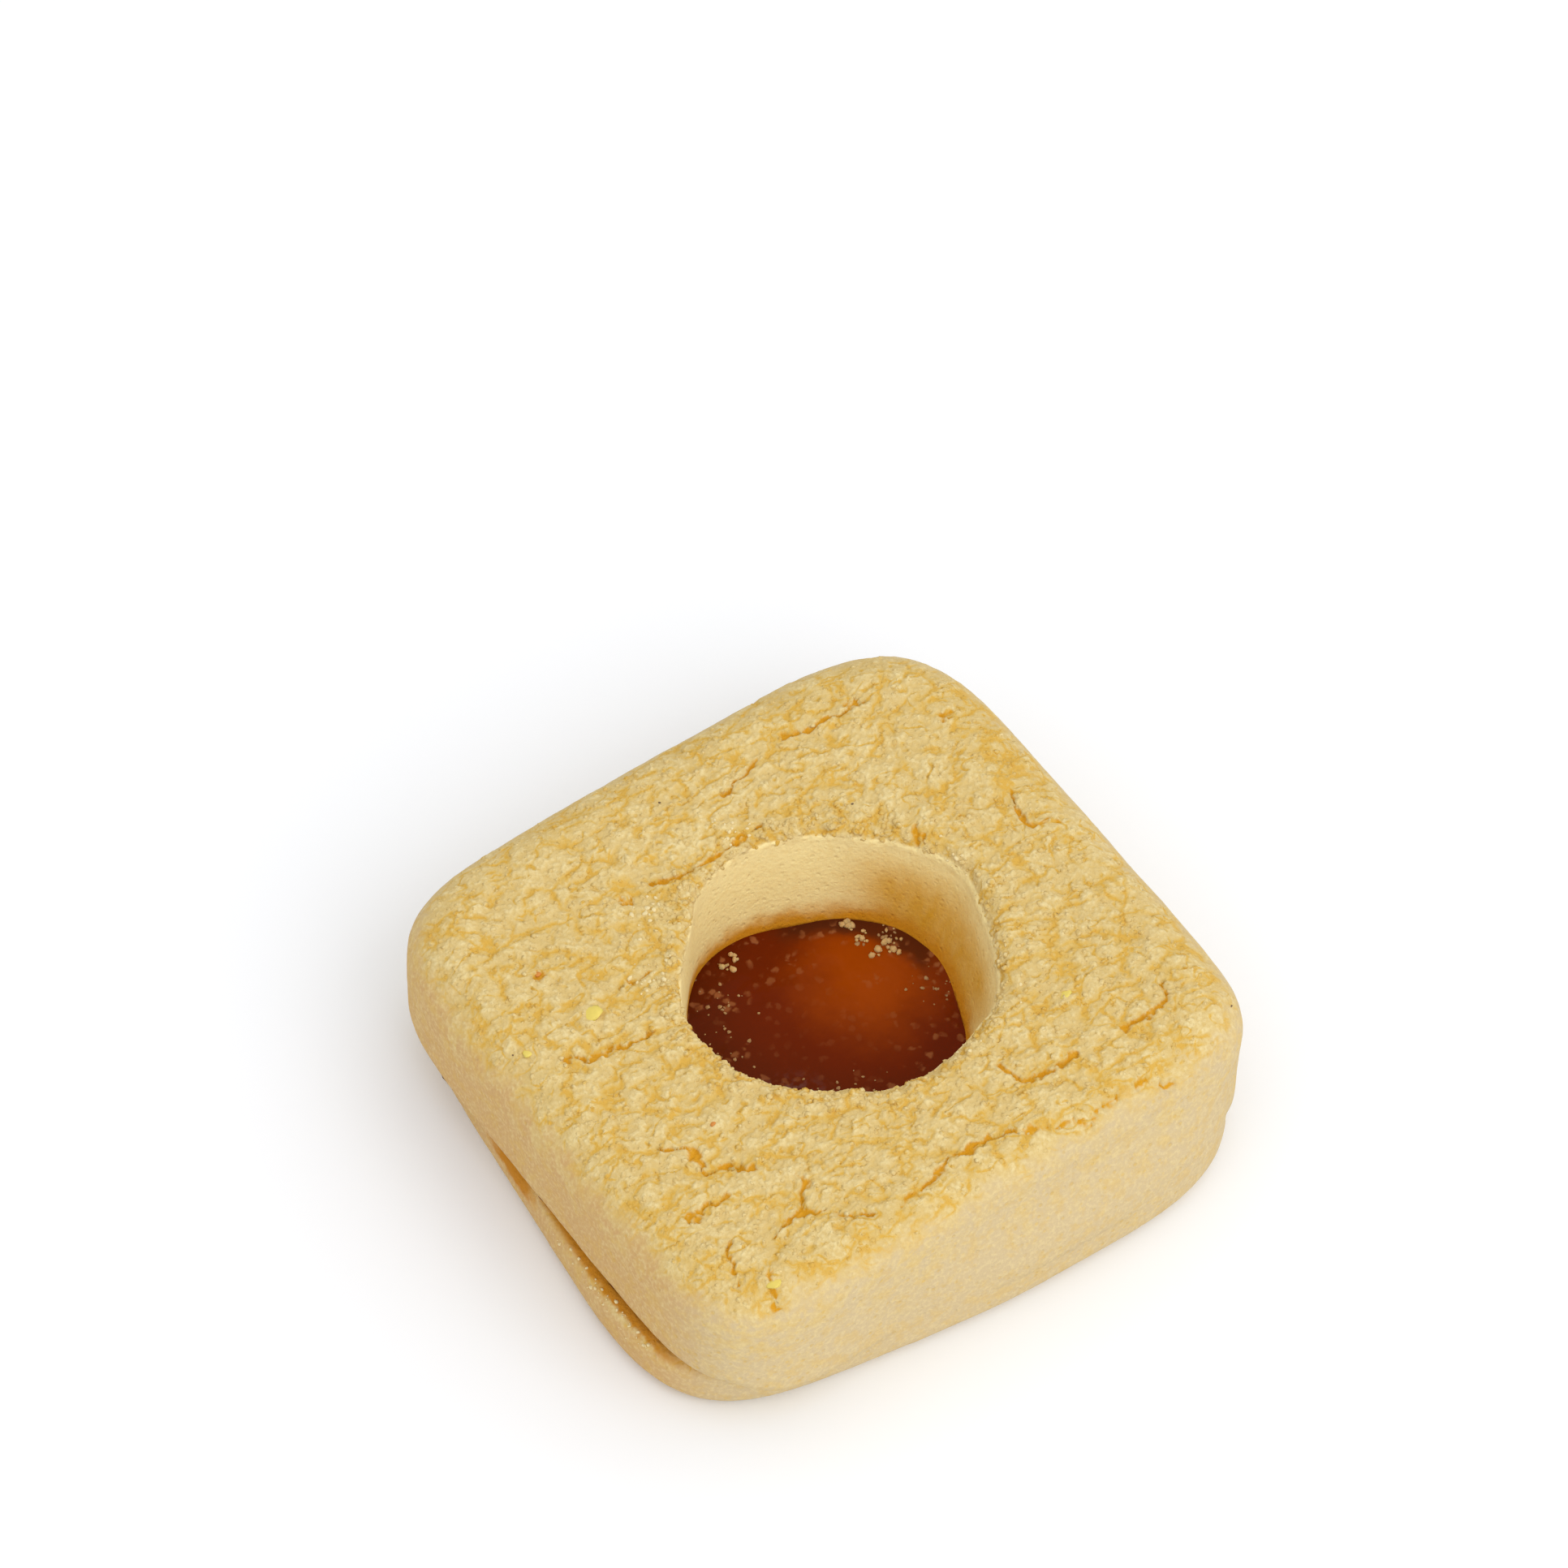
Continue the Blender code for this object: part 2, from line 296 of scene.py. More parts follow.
def waviness(angles, waves):
    """Waves round the well, each stated by how many there are in a full turn and how high they are."""
    return sum(height * np.sin(count * angles + count) for count, height in waves)


# %% The top's rings, from its underside to the foot of the well
def top_rings():
    angles = even_angles(TOP_HALF, TOP_SQUARENESS, TOP_ANGLES)
    outline = rounded_square(angles, TOP_HALF, TOP_SQUARENESS)
    outward = outward_of(outline)
    opening = seam_opening(angles, LIP_SEAM_ANGLE)
    lip_bottom = TOP_UNDERSIDE - (TOP_UNDERSIDE - BASE_HEIGHT + LIP_SINK) * (1 - opening)
    draft = blend(angles, CORNERS, TOP_DRAFT)
    flare = foot_flare(angles, outline, outward, draft) * (1 - opening)
    floor_circle = circle(angles, bulged(angles, WELL_FLOOR_RADIUS, WELL_BULGES)[:, None], WELL_FLOOR_CENTRE)

    rings = []
    lip_inner = outline - LIP_INSET * outward
    for share in np.linspace(0, 1, UNDERSIDE_RINGS):
        rings.append(at_height(floor_circle * (1 - share) + lip_inner * share, WELL_FLOOR))
    rings.append(at_height(lip_inner + LIP_WIDTH * outward, lip_bottom))
    foot = CLOSED_FOOT_EDGE + (FOOT_EDGE - CLOSED_FOOT_EDGE) * opening
    rings.append(at_height(outline + (draft + flare - foot)[:, None] * outward, lip_bottom))

    roll = blend(angles, SIDES, TOP_EDGE)
    shoulder = TOP_HEIGHT - roll
    for share in np.arange(SIDE_RINGS) / SIDE_RINGS:
        height = (lip_bottom + foot) * (1 - share) + shoulder * share
        lean = flare * (1 - smooth_step((height - BASE_HEIGHT) / FLARE_HEIGHT))
        rings.append(at_height(outline + (draft * (1 - share) + lean)[:, None] * outward, height))
    for turn in np.linspace(0, np.pi / 2, ROLL_RINGS):
        inward = roll * (1 - np.cos(turn))
        rings.append(at_height(outline - inward[:, None] * outward, shoulder + roll * np.sin(turn)))

    brim = outline - roll[:, None] * outward
    rim = blend(angles, SIDES, RIM_ROUNDING)
    wall_radius = bulged(angles, WELL_MOUTH_RADIUS, MOUTH_BULGES) + waviness(angles, WALL_WAVES)
    ragged = waviness(angles, LIP_WAVES)
    mouth = circle(angles, (wall_radius + rim + ragged)[:, None], WELL_CENTRE)
    for share in np.linspace(0, 1, CROWN_RINGS + 1)[1:]:
        rings.append(at_height(brim * (1 - share) + mouth * share, TOP_HEIGHT))
    for turn in np.linspace(0, np.pi / 2, RIM_RINGS + 1)[1:]:
        radius = wall_radius + rim * (1 - np.sin(turn)) + ragged * np.cos(turn)
        ring = circle(angles, radius[:, None], WELL_CENTRE)
        rings.append(at_height(ring, TOP_HEIGHT - rim * (1 - np.cos(turn))))
    wall_top = circle(angles, wall_radius[:, None], WELL_CENTRE)
    for share in np.linspace(0, 1, WALL_RINGS + 2)[1:-1]:
        height = (TOP_HEIGHT - rim) * (1 - share) + WELL_FLOOR * share
        rings.append(at_height(wall_top * (1 - share) + floor_circle * share, height))
    return [ring + (*TOP_CENTRE, 0) for ring in rings]


top_crust = skin("top_crust", top_rings(), True)
measured(top_crust)

# %% [markdown]
# The base biscuit is the same dough, thinner and untrimmed. It keeps a flat underside from the baking tray
# and softly rounded edges above and below, and it lies a few degrees askew under the top.

# %% The base biscuit's smooth form
BASE_UPPER_EDGE = (0.7, 0.7, 2.2, 0.5)
BASE_LOWER_EDGE = 2.2
BASE_ANGLES = 640
BASE_EDGE_RINGS = 9
BASE_SIDE_RINGS = 8
BASE_FACE_RINGS = (0.97, 0.93, 0.88, 0.8, 0.6, 0.3)


def base_rings():
    angles = even_angles(BASE_HALF, BASE_SQUARENESS, BASE_ANGLES)
    outline = base_outline(angles)
    outward = outward_of(outline)
    upper = blend(angles, SIDES, BASE_UPPER_EDGE)
    rings = [(share * (outline - BASE_LOWER_EDGE * outward), 0.0) for share in BASE_FACE_RINGS[::-1]]
    for turn in np.linspace(0, np.pi / 2, BASE_EDGE_RINGS):
        inner = outline - BASE_LOWER_EDGE * (1 - np.sin(turn)) * outward
        rings.append((inner, BASE_LOWER_EDGE * (1 - np.cos(turn))))
    for share in np.linspace(0, 1, BASE_SIDE_RINGS + 1)[1:-1]:
        rings.append((outline, BASE_LOWER_EDGE * (1 - share) + (BASE_HEIGHT - upper) * share))
    for turn in np.linspace(0, np.pi / 2, BASE_EDGE_RINGS):
        inner = outline - (upper * (1 - np.cos(turn)))[:, None] * outward
        rings.append((inner, BASE_HEIGHT - upper * (1 - np.sin(turn))))
    face = outline - upper[:, None] * outward
    rings += [(share * face, BASE_HEIGHT) for share in BASE_FACE_RINGS]
    return [at_height(placed_base(points), height) for points, height in rings]


base_crust = skin("base_crust", base_rings(), False)
measured(base_crust)

# %% [markdown]
# The jam was spread hot, so it is level in the well, creeps up the wall a little and shows slow ripples. On
# the -X side it is squeezed out almost to the edge, in an uneven bead. One skin makes both: the thin sheet
# between the biscuits and the disc that stands in the well.

# %% The jam's form
JAM_INSET = 2.9
JAM_INSET_SEAM = 0.35
JAM_SEAM_ANGLE = 42
JAM_SHEET_TOP = 6.9
JAM_SHEET_BOTTOM = 5.8
JAM_LEVEL = 6.95
JAM_DISC_RADIUS = WELL_FLOOR_RADIUS + 0.3
JAM_CREEP = 0.15
JAM_CREEP_WIDTH = 1.1
JAM_RIPPLE = 0.13
JAM_BEAD = 0.3
JAM_BEAD_WAVES = ((23, 0), (41, 1), (67, 2))
JAM_EDGE_ROUNDING = 0.3
JAM_ANGLES = 360
JAM_DISC_RINGS = 60


def jam_height(points):
    """The jam's level in the well: slow ripples, and a creep up the wall."""
    x, y = (points - TOP_CENTRE - WELL_FLOOR_CENTRE).T
    away = np.hypot(x, y)
    ripple = np.sin(0.55 * x + 0.9) * np.cos(0.42 * y - 0.4) + 0.5 * np.sin(0.9 * y - 0.5 * x + 2.1)
    creep = np.exp(-np.clip(JAM_DISC_RADIUS - away, 0, None) / JAM_CREEP_WIDTH)
    return JAM_LEVEL + JAM_RIPPLE * ripple + JAM_CREEP * creep


def jam_rings():
    angles = full_turn(JAM_ANGLES)
    outline = rounded_square(angles, TOP_HALF, TOP_SQUARENESS)
    outward = outward_of(outline)
    opening = seam_opening(angles, JAM_SEAM_ANGLE)
    bead = JAM_BEAD * sum(np.sin(count * angles + start) for count, start in JAM_BEAD_WAVES) / 2
    inset = JAM_INSET + (JAM_INSET_SEAM + bead - JAM_INSET) * opening
    sheet = outline - inset[:, None] * outward + TOP_CENTRE
    middle = (JAM_SHEET_TOP + JAM_SHEET_BOTTOM) / 2
    rounded = sheet - JAM_EDGE_ROUNDING * outward
    section = ((rounded, JAM_SHEET_BOTTOM), (sheet, middle), (rounded, JAM_SHEET_TOP))
    rings = [at_height(points, height) for points, height in section]
    centre = np.add(WELL_FLOOR_CENTRE, TOP_CENTRE)
    radius = bulged(angles, JAM_DISC_RADIUS, WELL_BULGES)[:, None]
    rings.append(at_height(circle(angles, radius, centre), JAM_SHEET_TOP))
    for share in np.linspace(1, 0, JAM_DISC_RINGS + 1)[:-1]:
        ring = circle(angles, radius * share, centre)
        rings.append(at_height(ring, jam_height(ring)))
    return rings


jam = skin("jam", jam_rings(), False)
measured(jam)

# %% [markdown]
# Relief and colour both follow formulas, and a node tree is a formula. This small helper adds nodes to a tree
# and wires them, so that each line below reads like the sum it stands for. It works alike in geometry trees
# and in shader trees, because the texture and math nodes are the same in both.

# %% A helper that writes formulas as nodes
class Formula:
    def __init__(self, tree):
        self.tree = tree

    def node(self, kind, wires, **settings):
        made = self.tree.nodes.new(kind)
        for name, value in settings.items():
            setattr(made, name, value)
        self.wire(made, wires)
        return made

    def wire(self, made, wires):
        for key, value in wires.items():
            if isinstance(value, bpy.types.NodeSocket):
                self.tree.links.new(value, made.inputs[key])
            else:
                made.inputs[key].default_value = value

    def math(self, operation, *values):
        return self.node("ShaderNodeMath", dict(enumerate(values)), operation=operation).outputs[0]

    def times(self, *values):
        product = values[0]
        for value in values[1:]:
            product = self.math("MULTIPLY", product, value)
        return product

    def plus(self, *values):
        total = values[0]
        for value in values[1:]:
            total = self.math("ADD", total, value)
        return total

    def inverse(self, value):
        return self.math("SUBTRACT", 1.0, value)

    def vector(self, operation, *values):
        return self.node("ShaderNodeVectorMath", dict(enumerate(values)), operation=operation).outputs[0]

    def scaled(self, vector, factor):
        return self.node("ShaderNodeVectorMath", {0: vector, "Scale": factor}, operation="SCALE").outputs[0]

    def parts(self, vector):
        return self.node("ShaderNodeSeparateXYZ", {0: vector}).outputs

    def from_axis(self, place, axis):
        """How far a place lies from the upright line through this x and y."""
        wires = {0: self.vector("MULTIPLY", place, (1, 1, 0)), 1: (*axis, 0)}
        return self.node("ShaderNodeVectorMath", wires, operation="DISTANCE").outputs["Value"]

    def step(self, value, low, high):
        """0 below low and 1 above high, with a smooth rise between."""
        wires = {0: value, 1: low, 2: high}
        return self.node("ShaderNodeMapRange", wires, interpolation_type="SMOOTHSTEP").outputs[0]

    def fall(self, value, low, high):
        """1 below low and 0 above high."""
        return self.inverse(self.step(value, low, high))

    def noise(self, place, length, detail=2.0, roughness=0.5):
        """A cloudy pattern from 0 to 1, with bumps about this long in millimetres."""
        wires = {"Vector": place, "Scale": 1 / length, "Detail": detail, "Roughness": roughness}
        return self.node("ShaderNodeTexNoise", wires).outputs["Fac"]

    def swing(self, place, length, detail=2.0, roughness=0.5):
        """The same pattern from -0.5 to 0.5."""
        return self.plus(self.noise(place, length, detail, roughness), -0.5)

    def shifts(self, place, length):
        """A direction that wanders over the surface, about a third of a unit long."""
        drawn = self.node("ShaderNodeTexNoise", {"Vector": place, "Scale": 1 / length}).outputs["Color"]
        return self.vector("SUBTRACT", drawn, (0.5, 0.5, 0.5))

    def cells(self, place, size, feature="F1"):
        """A pattern of cells about this wide in millimetres: the distance from a centre or an edge."""
        wires = {"Vector": place, "Scale": 1 / size}
        return self.node("ShaderNodeTexVoronoi", wires, feature=feature).outputs["Distance"]

    def mix(self, share, one, other):
        """One colour, turning into another as the share rises from 0 to 1."""
        wires = {0: share, 6: one, 7: other}
        return self.node("ShaderNodeMix", wires, data_type="RGBA").outputs[2]

    def group(self, tree, wires):
        kind = "GeometryNodeGroup" if self.tree.bl_idname == "GeometryNodeTree" else "ShaderNodeGroup"
        made = self.tree.nodes.new(kind)
        made.node_tree = tree
        self.wire(made, wires)
        return made.outputs


class Group(Formula):
    """A tree of its own, with named sockets for what it is given and what it gives back."""

    def __init__(self, name, kind, inputs, outputs):
        super().__init__(bpy.data.node_groups.new(name, kind))
        for side, sockets in (("INPUT", inputs), ("OUTPUT", outputs)):
            for label, value in sockets.items():
                socket = f"NodeSocket{value.title()}"
                self.tree.interface.new_socket(label, in_out=side, socket_type=socket)
        self.given = self.tree.nodes.new("NodeGroupInput").outputs
        self.result = self.tree.nodes.new("NodeGroupOutput").inputs

    def give(self, label, value):
        self.tree.links.new(value, self.result[label])


def set_input(modifier, label, value):
    """Sets a tree's input on its modifier by the socket's identifier."""
    for item in modifier.node_group.interface.items_tree:
        if item.item_type == "SOCKET" and item.in_out == "INPUT" and item.name == label:
            modifier[item.identifier] = value


# %% [markdown]
# Short dough is rubbed to crumbs before it is pressed, and the crumbs still show: soft lumps of 1 to 3 mm,
# made of rounded crumbs of half a millimetre to one. Between them are short crooked gaps and a few pits.
# Noise gives the lumps, and the domes of a cell pattern give the crumbs. A gap runs where a noise crosses its
# middle value, or along the edge of a bent cell, and opens only here and there. The same pattern is needed as
# relief and as colour, so one function builds it for both kinds of tree.

# %% The crumb pattern
LUMP_LENGTH = 2.4
CRUMB_SIZES = (1.0, 0.45)
CRUMB_SHARES = (0.45, 0.55)
CRUMB_REACH = 0.62
GAP_STRETCH = (0.62, 1.0, 1.0)
GAP_LENGTHS = (3.8, 2.0)
GAP_STARTS = (7.0, 31.0)
GAP_WIDTHS = (0.04, 0.05)
GAP_RAGGED = 0.09
LUMP_SIZES = (3.3, 1.9)
LUMP_EDGES = (0.12, 0.13)
LUMP_OPENINGS = (0.38, 0.5)
LUMP_BEND_LENGTH = 1.6
LUMP_BEND_REACH = 1.8
PIT_SPACING = 2.7
BEND_LENGTH = 0.9
BEND_REACH = 0.22


def crumb_pattern(kind):
    outputs = {"Lumps": "float", "Crumbs": "float", "Gaps": "float"}
    f = Group("crumb pattern", kind, {"Place": "vector"}, outputs)
    place = f.given["Place"]
    bent = f.vector("ADD", place, f.scaled(f.shifts(place, BEND_LENGTH), BEND_REACH))
    f.give("Lumps", f.step(f.noise(place, LUMP_LENGTH, 3.0, 0.55), 0.25, 0.75))
    domes = []
    for size in CRUMB_SIZES:
        away = f.times(f.cells(bent, size), 1 / CRUMB_REACH)
        domes.append(f.math("MAXIMUM", f.inverse(f.times(away, away)), 0.0))
    f.give("Crumbs", f.plus(*(f.times(dome, share) for dome, share in zip(domes, CRUMB_SHARES))))
    stretched = f.vector("MULTIPLY", place, GAP_STRETCH)
    ragged = f.times(f.swing(place, 0.5, 2.0), GAP_RAGGED)
    gaps = []
    for length, width, start in zip(GAP_LENGTHS, GAP_WIDTHS, GAP_STARTS):
        shifted = f.vector("ADD", stretched, (start, 0.0, start))
        ridge = f.plus(f.math("ABSOLUTE", f.swing(shifted, length, 1.0)), ragged)
        opened = f.step(f.noise(shifted, length * 0.8, 1.0), 0.36, 0.6)
        gaps.append(f.times(f.fall(ridge, 0.0, f.times(opened, width)), opened))
    wavy = f.vector("ADD", stretched, f.scaled(f.shifts(place, LUMP_BEND_LENGTH), LUMP_BEND_REACH))
    for size, width, start in zip(LUMP_SIZES, LUMP_EDGES, LUMP_OPENINGS):
        edge = f.plus(f.cells(wavy, size, "DISTANCE_TO_EDGE"), f.times(ragged, 1.2))
        opened = f.step(f.noise(place, size * 0.8, 1.0), start, start + 0.16)
        gaps.append(f.times(f.fall(edge, 0.0, width), opened))
    hollow = f.fall(f.cells(bent, PIT_SPACING), 0.04, 0.13)
    gaps.append(f.times(hollow, f.step(f.noise(place, 5.0, 0.0), 0.45, 0.6)))
    deepest = gaps[0]
    for gap in gaps[1:]:
        deepest = f.math("MAXIMUM", deepest, gap)
    f.give("Gaps", deepest)
    return f.tree


relief_pattern = crumb_pattern("GeometryNodeTree")
colour_pattern = crumb_pattern("ShaderNodeTree")
print("crumb pattern:", len(relief_pattern.nodes), "nodes in each kind of tree")

# %% [markdown]
# As it bakes, the crown also tears in a few long cracks, most of all where it rolls over into the front side.
# Each crack is a route of a few points across the crown. It could be carved by hand, but a route is easily
# moved: the relief tree measures how far each point of the crust is from the nearest route, lets that
# distance wander a little so that the tear looks ragged, and sinks the crust there.

# %% Where the crown is cracked
CRACKS = (
    ((-19.7, -21.1), (-16.5, -20.4), (-15.2, -21.6), (-13.6, -23.3), (-9.7, -25.1), (-6.4, -24.5),
     (-2.7, -24.0)),
    ((-2.0, -24.1), (1.3, -23.6), (3.9, -24.3), (6.3, -26.0), (11.0, -27.0), (14.0, -26.3), (18.9, -27.8)),
    ((-14.5, -18.3), (-16.0, -20.4)),
    ((-23.1, -19.7), (-24.2, -22.1), (-25.5, -24.0)),
    ((-22.2, -23.8), (-22.5, -25.3), (-23.9, -27.4)),
    ((-22.5, -7.9), (-21.2, -9.9), (-20.7, -12.6), (-18.9, -13.3), (-17.2, -14.8)),
    ((-25.0, -16.4), (-22.4, -15.5), (-20.4, -15.5)),
    ((-16.3, 7.3), (-12.8, 7.3)),
    ((-24.5, 4.0), (-22.4, 3.1), (-17.4, 1.6), (-16.2, 1.9)),
    ((-7.9, 14.9), (-2.4, 14.8), (4.2, 14.6)),
    ((11.6, 21.3), (14.1, 21.1), (18.6, 21.0)),
    ((3.4, 19.4), (6.7, 20.7), (7.3, 21.3)),
    ((24.3, 4.5), (23.3, 2.1), (24.3, 1.2), (26.9, 0.0)),
    ((15.2, 6.7), (14.2, 4.8)),
    ((23.2, -19.6), (21.4, -21.3), (17.9, -21.0)),
    ((6.4, -18.2), (7.4, -20.3), (9.6, -21.5), (12.6, -21.4)),
)
PITS = (
    (24.8, 15.1, 0.7), (-21.2, 12.9, 0.4), (-10.0, 15.0, 0.4), (-18.6, -13.8, 0.4), (-24.8, -15.9, 0.3),
    (9.0, -21.4, 0.3), (21.6, -20.9, 0.3),
)


def crack_routes():
    """A helper of loose edges along every crack's route, with a small cross for each pit."""
    pits = [((x - reach, y), (x + reach, y)) for x, y, reach in PITS]
    pits += [((x, y - reach / 2), (x, y + reach / 2)) for x, y, reach in PITS]
    points, edges = [], []
    for route in (*CRACKS, *pits):
        start = len(points)
        points += [Vector((x + TOP_CENTRE[0], y + TOP_CENTRE[1], TOP_HEIGHT)) * MM for x, y in route]
        edges += [(i, i + 1) for i in range(start, len(points) - 1)]
    return added("crack_routes", mesh_of("crack_routes", points, edges=edges))


routes = crack_routes()
print(len(CRACKS), "cracks and", len(PITS), "pits, by", len(routes.data.edges), "edges")

# %% [markdown]
# The relief tree moves each point of a smooth crust along its normal: slow waves and fine grain everywhere,
# and lumps, crumbs, gaps and cracks only where the crust faces up, because the cutter left the sides smooth.
# It stores what the materials need: the place before the move, how crumbly the crust is there, and how far
# away the nearest crack is.

# %% How deep a crack is, by the distance from its route
CRACK_WIDTH_LENGTH = 2.4
CRACK_NARROW = -0.05
CRACK_WIDEN = 0.75
CRACK_RAGGED = 0.6


def crack_profile(kind):
    f = Group("crack profile", kind, {"Place": "vector", "Away": "float"}, {"Depth": "float"})
    place = f.given["Place"]
    width = f.plus(f.times(f.noise(place, CRACK_WIDTH_LENGTH, 1.0), CRACK_WIDEN), CRACK_NARROW)
    ragged = f.times(f.swing(place, 0.6, 2.0), CRACK_RAGGED)
    away = f.plus(f.given["Away"], ragged)
    f.give("Depth", f.fall(away, f.times(width, 0.25), width))
    return f.tree


relief_cracks = crack_profile("GeometryNodeTree")
colour_cracks = crack_profile("ShaderNodeTree")
print("crack profile:", len(relief_cracks.nodes), "nodes in each kind of tree")

# %% The relief tree
CRACK_WANDERS = ((3.2, 2.4), (1.2, 2.0))
FACES_UP = (0.4, 0.9)
SIDE_FACES_UP = (0.15, 0.5)
SIDE_AWAY = 5.0
SHOULDER_RAGGED = 1.1
LIP_CRUMBLY = 0.35
LIP_REACH = (14.5, 16.5)
LIP_RISE = (TOP_HEIGHT - 1.8, TOP_HEIGHT - 0.6)
WELL_AXIS = np.add(WELL_CENTRE, TOP_CENTRE)
RELIEF_INPUTS = ("Wave depth", "Lump depth", "Crumb depth", "Gap depth", "Crack depth", "Side depth")


def relief_tree():
    inputs = {"Geometry": "geometry", "Routes": "object", "Material": "material"}
    inputs.update({label: "float" for label in RELIEF_INPUTS})
    f = Group("crust relief", "GeometryNodeTree", inputs, {"Geometry": "geometry"})
    place = f.scaled(f.node("GeometryNodeInputPosition", {}).outputs[0], 1 / MM)
    normal = f.node("GeometryNodeInputNormal", {}).outputs[0]
    up = f.parts(normal)["Z"]
    ragged = f.times(f.swing(place, 2.5, 4.0, 0.6), SHOULDER_RAGGED)
    high = f.step(f.parts(place)["Z"], *LIP_RISE)
    at_lip = f.times(f.fall(f.from_axis(place, WELL_AXIS), *LIP_REACH), high, LIP_CRUMBLY)
    crumbly = f.step(f.plus(up, ragged, at_lip), *FACES_UP)
    pattern = f.group(relief_pattern, {"Place": place})

    wanders = (f.scaled(f.shifts(place, length), reach) for length, reach in CRACK_WANDERS)
    sample = f.scaled(f.vector("ADD", place, f.vector("ADD", *wanders)), MM)
    flat = f.vector("ADD", f.vector("MULTIPLY", sample, (1, 1, 0)), (0, 0, TOP_HEIGHT * MM))
    info = f.node("GeometryNodeObjectInfo", {"Object": f.given["Routes"]}, transform_space="RELATIVE")
    near = f.node("GeometryNodeProximity", {0: info.outputs["Geometry"], 2: flat}, target_element="EDGES")
    on_side = f.times(f.fall(up, *SIDE_FACES_UP), SIDE_AWAY)
    away = f.plus(f.times(near.outputs["Distance"], 1 / MM), on_side)
    crack = f.group(relief_cracks, {"Place": place, "Away": away})["Depth"]

    waves = f.times(f.swing(place, 9.0, 1.0), f.given["Wave depth"])
    lumps = f.times(f.plus(pattern["Lumps"], -0.5), f.given["Lump depth"])
    crumbs = f.times(f.plus(pattern["Crumbs"], -0.5), f.given["Crumb depth"])
    gaps = f.times(pattern["Gaps"], f.given["Gap depth"])
    torn = f.times(crack, f.given["Crack depth"])
    grain = f.times(f.swing(place, 1.1, 3.0), f.given["Side depth"])
    raised = f.times(f.plus(lumps, crumbs, f.times(gaps, -1.0)), crumbly)
    offset = f.scaled(normal, f.times(f.plus(waves, grain, raised, f.times(torn, -1.0)), MM))

    geometry = f.given["Geometry"]
    stored = (("place", place, "FLOAT_VECTOR"), ("crumbly", crumbly, "FLOAT"), ("away", away, "FLOAT"))
    for name, value, kind in stored:
        wires = {"Geometry": geometry, "Name": name, "Value": value}
        geometry = f.node("GeometryNodeStoreNamedAttribute", wires, data_type=kind).outputs[0]
    geometry = f.node("GeometryNodeSetPosition", {"Geometry": geometry, "Offset": offset}).outputs[0]
    geometry = f.node("GeometryNodeRealizeInstances", {0: geometry}).outputs[0]
    geometry = f.node("GeometryNodeSetMaterial", {0: geometry, "Material": f.given["Material"]}).outputs[0]
    f.give("Geometry", geometry)
    return f.tree


relief = relief_tree()
print("relief tree:", len(relief.nodes), "nodes")


# %% Running a tree on a piece
def grown(piece, tree, values):
    """Runs a tree on a piece and keeps the result as the piece's own plain mesh."""
    modifier = piece.modifiers.new(tree.name, "NODES")
    modifier.node_group = tree
    for label, value in values.items():
        set_input(modifier, label, value)
    graph = bpy.context.evaluated_depsgraph_get()
    made = bpy.data.meshes.new_from_object(
        piece.evaluated_get(graph), preserve_all_data_layers=True, depsgraph=graph
    )
    piece.modifiers.remove(modifier)
    piece.data = made
    made.name = piece.name
    measured(piece)


# %% [markdown]
# Shortbread is pale cream where the cutter left the sides smooth, yellow on the crumbly crown and golden in
# the gaps and cracks, partly where butter browns and partly as painted shade and painted bounce light. The
# low parts of the crown get a little of that painted shade, and the -X side a browner painted shade. Raised
# crumbs are dusted paler. One shader group works this out for the top, the base and the baked in crumbs.

# %% The crust's colours
CRUST_TONES = {
    "Crown colour": (0.67, 0.49, 0.195, 1),
    "Pale colour": (0.80, 0.65, 0.33, 1),
    "Side colour": (0.60, 0.465, 0.262, 1),
    "Toasted colour": (0.60, 0.375, 0.155, 1),
    "Gap colour": (0.66, 0.41, 0.07, 1),
    "Crack colour": (0.66, 0.31, 0.008, 1),
}
# The -X side gets its painted shade between these places.
SIDE_SHADE_FROM = (24.0, 30.0)
SIDE_SHADE_PAST = (-26.0, -17.0)
SHOULDER_YELLOW = (9.0, 16.0)
CRUST_INPUTS = {"Place": "vector", "Crumbly": "float", "Away": "float", **dict.fromkeys(CRUST_TONES, "color")}


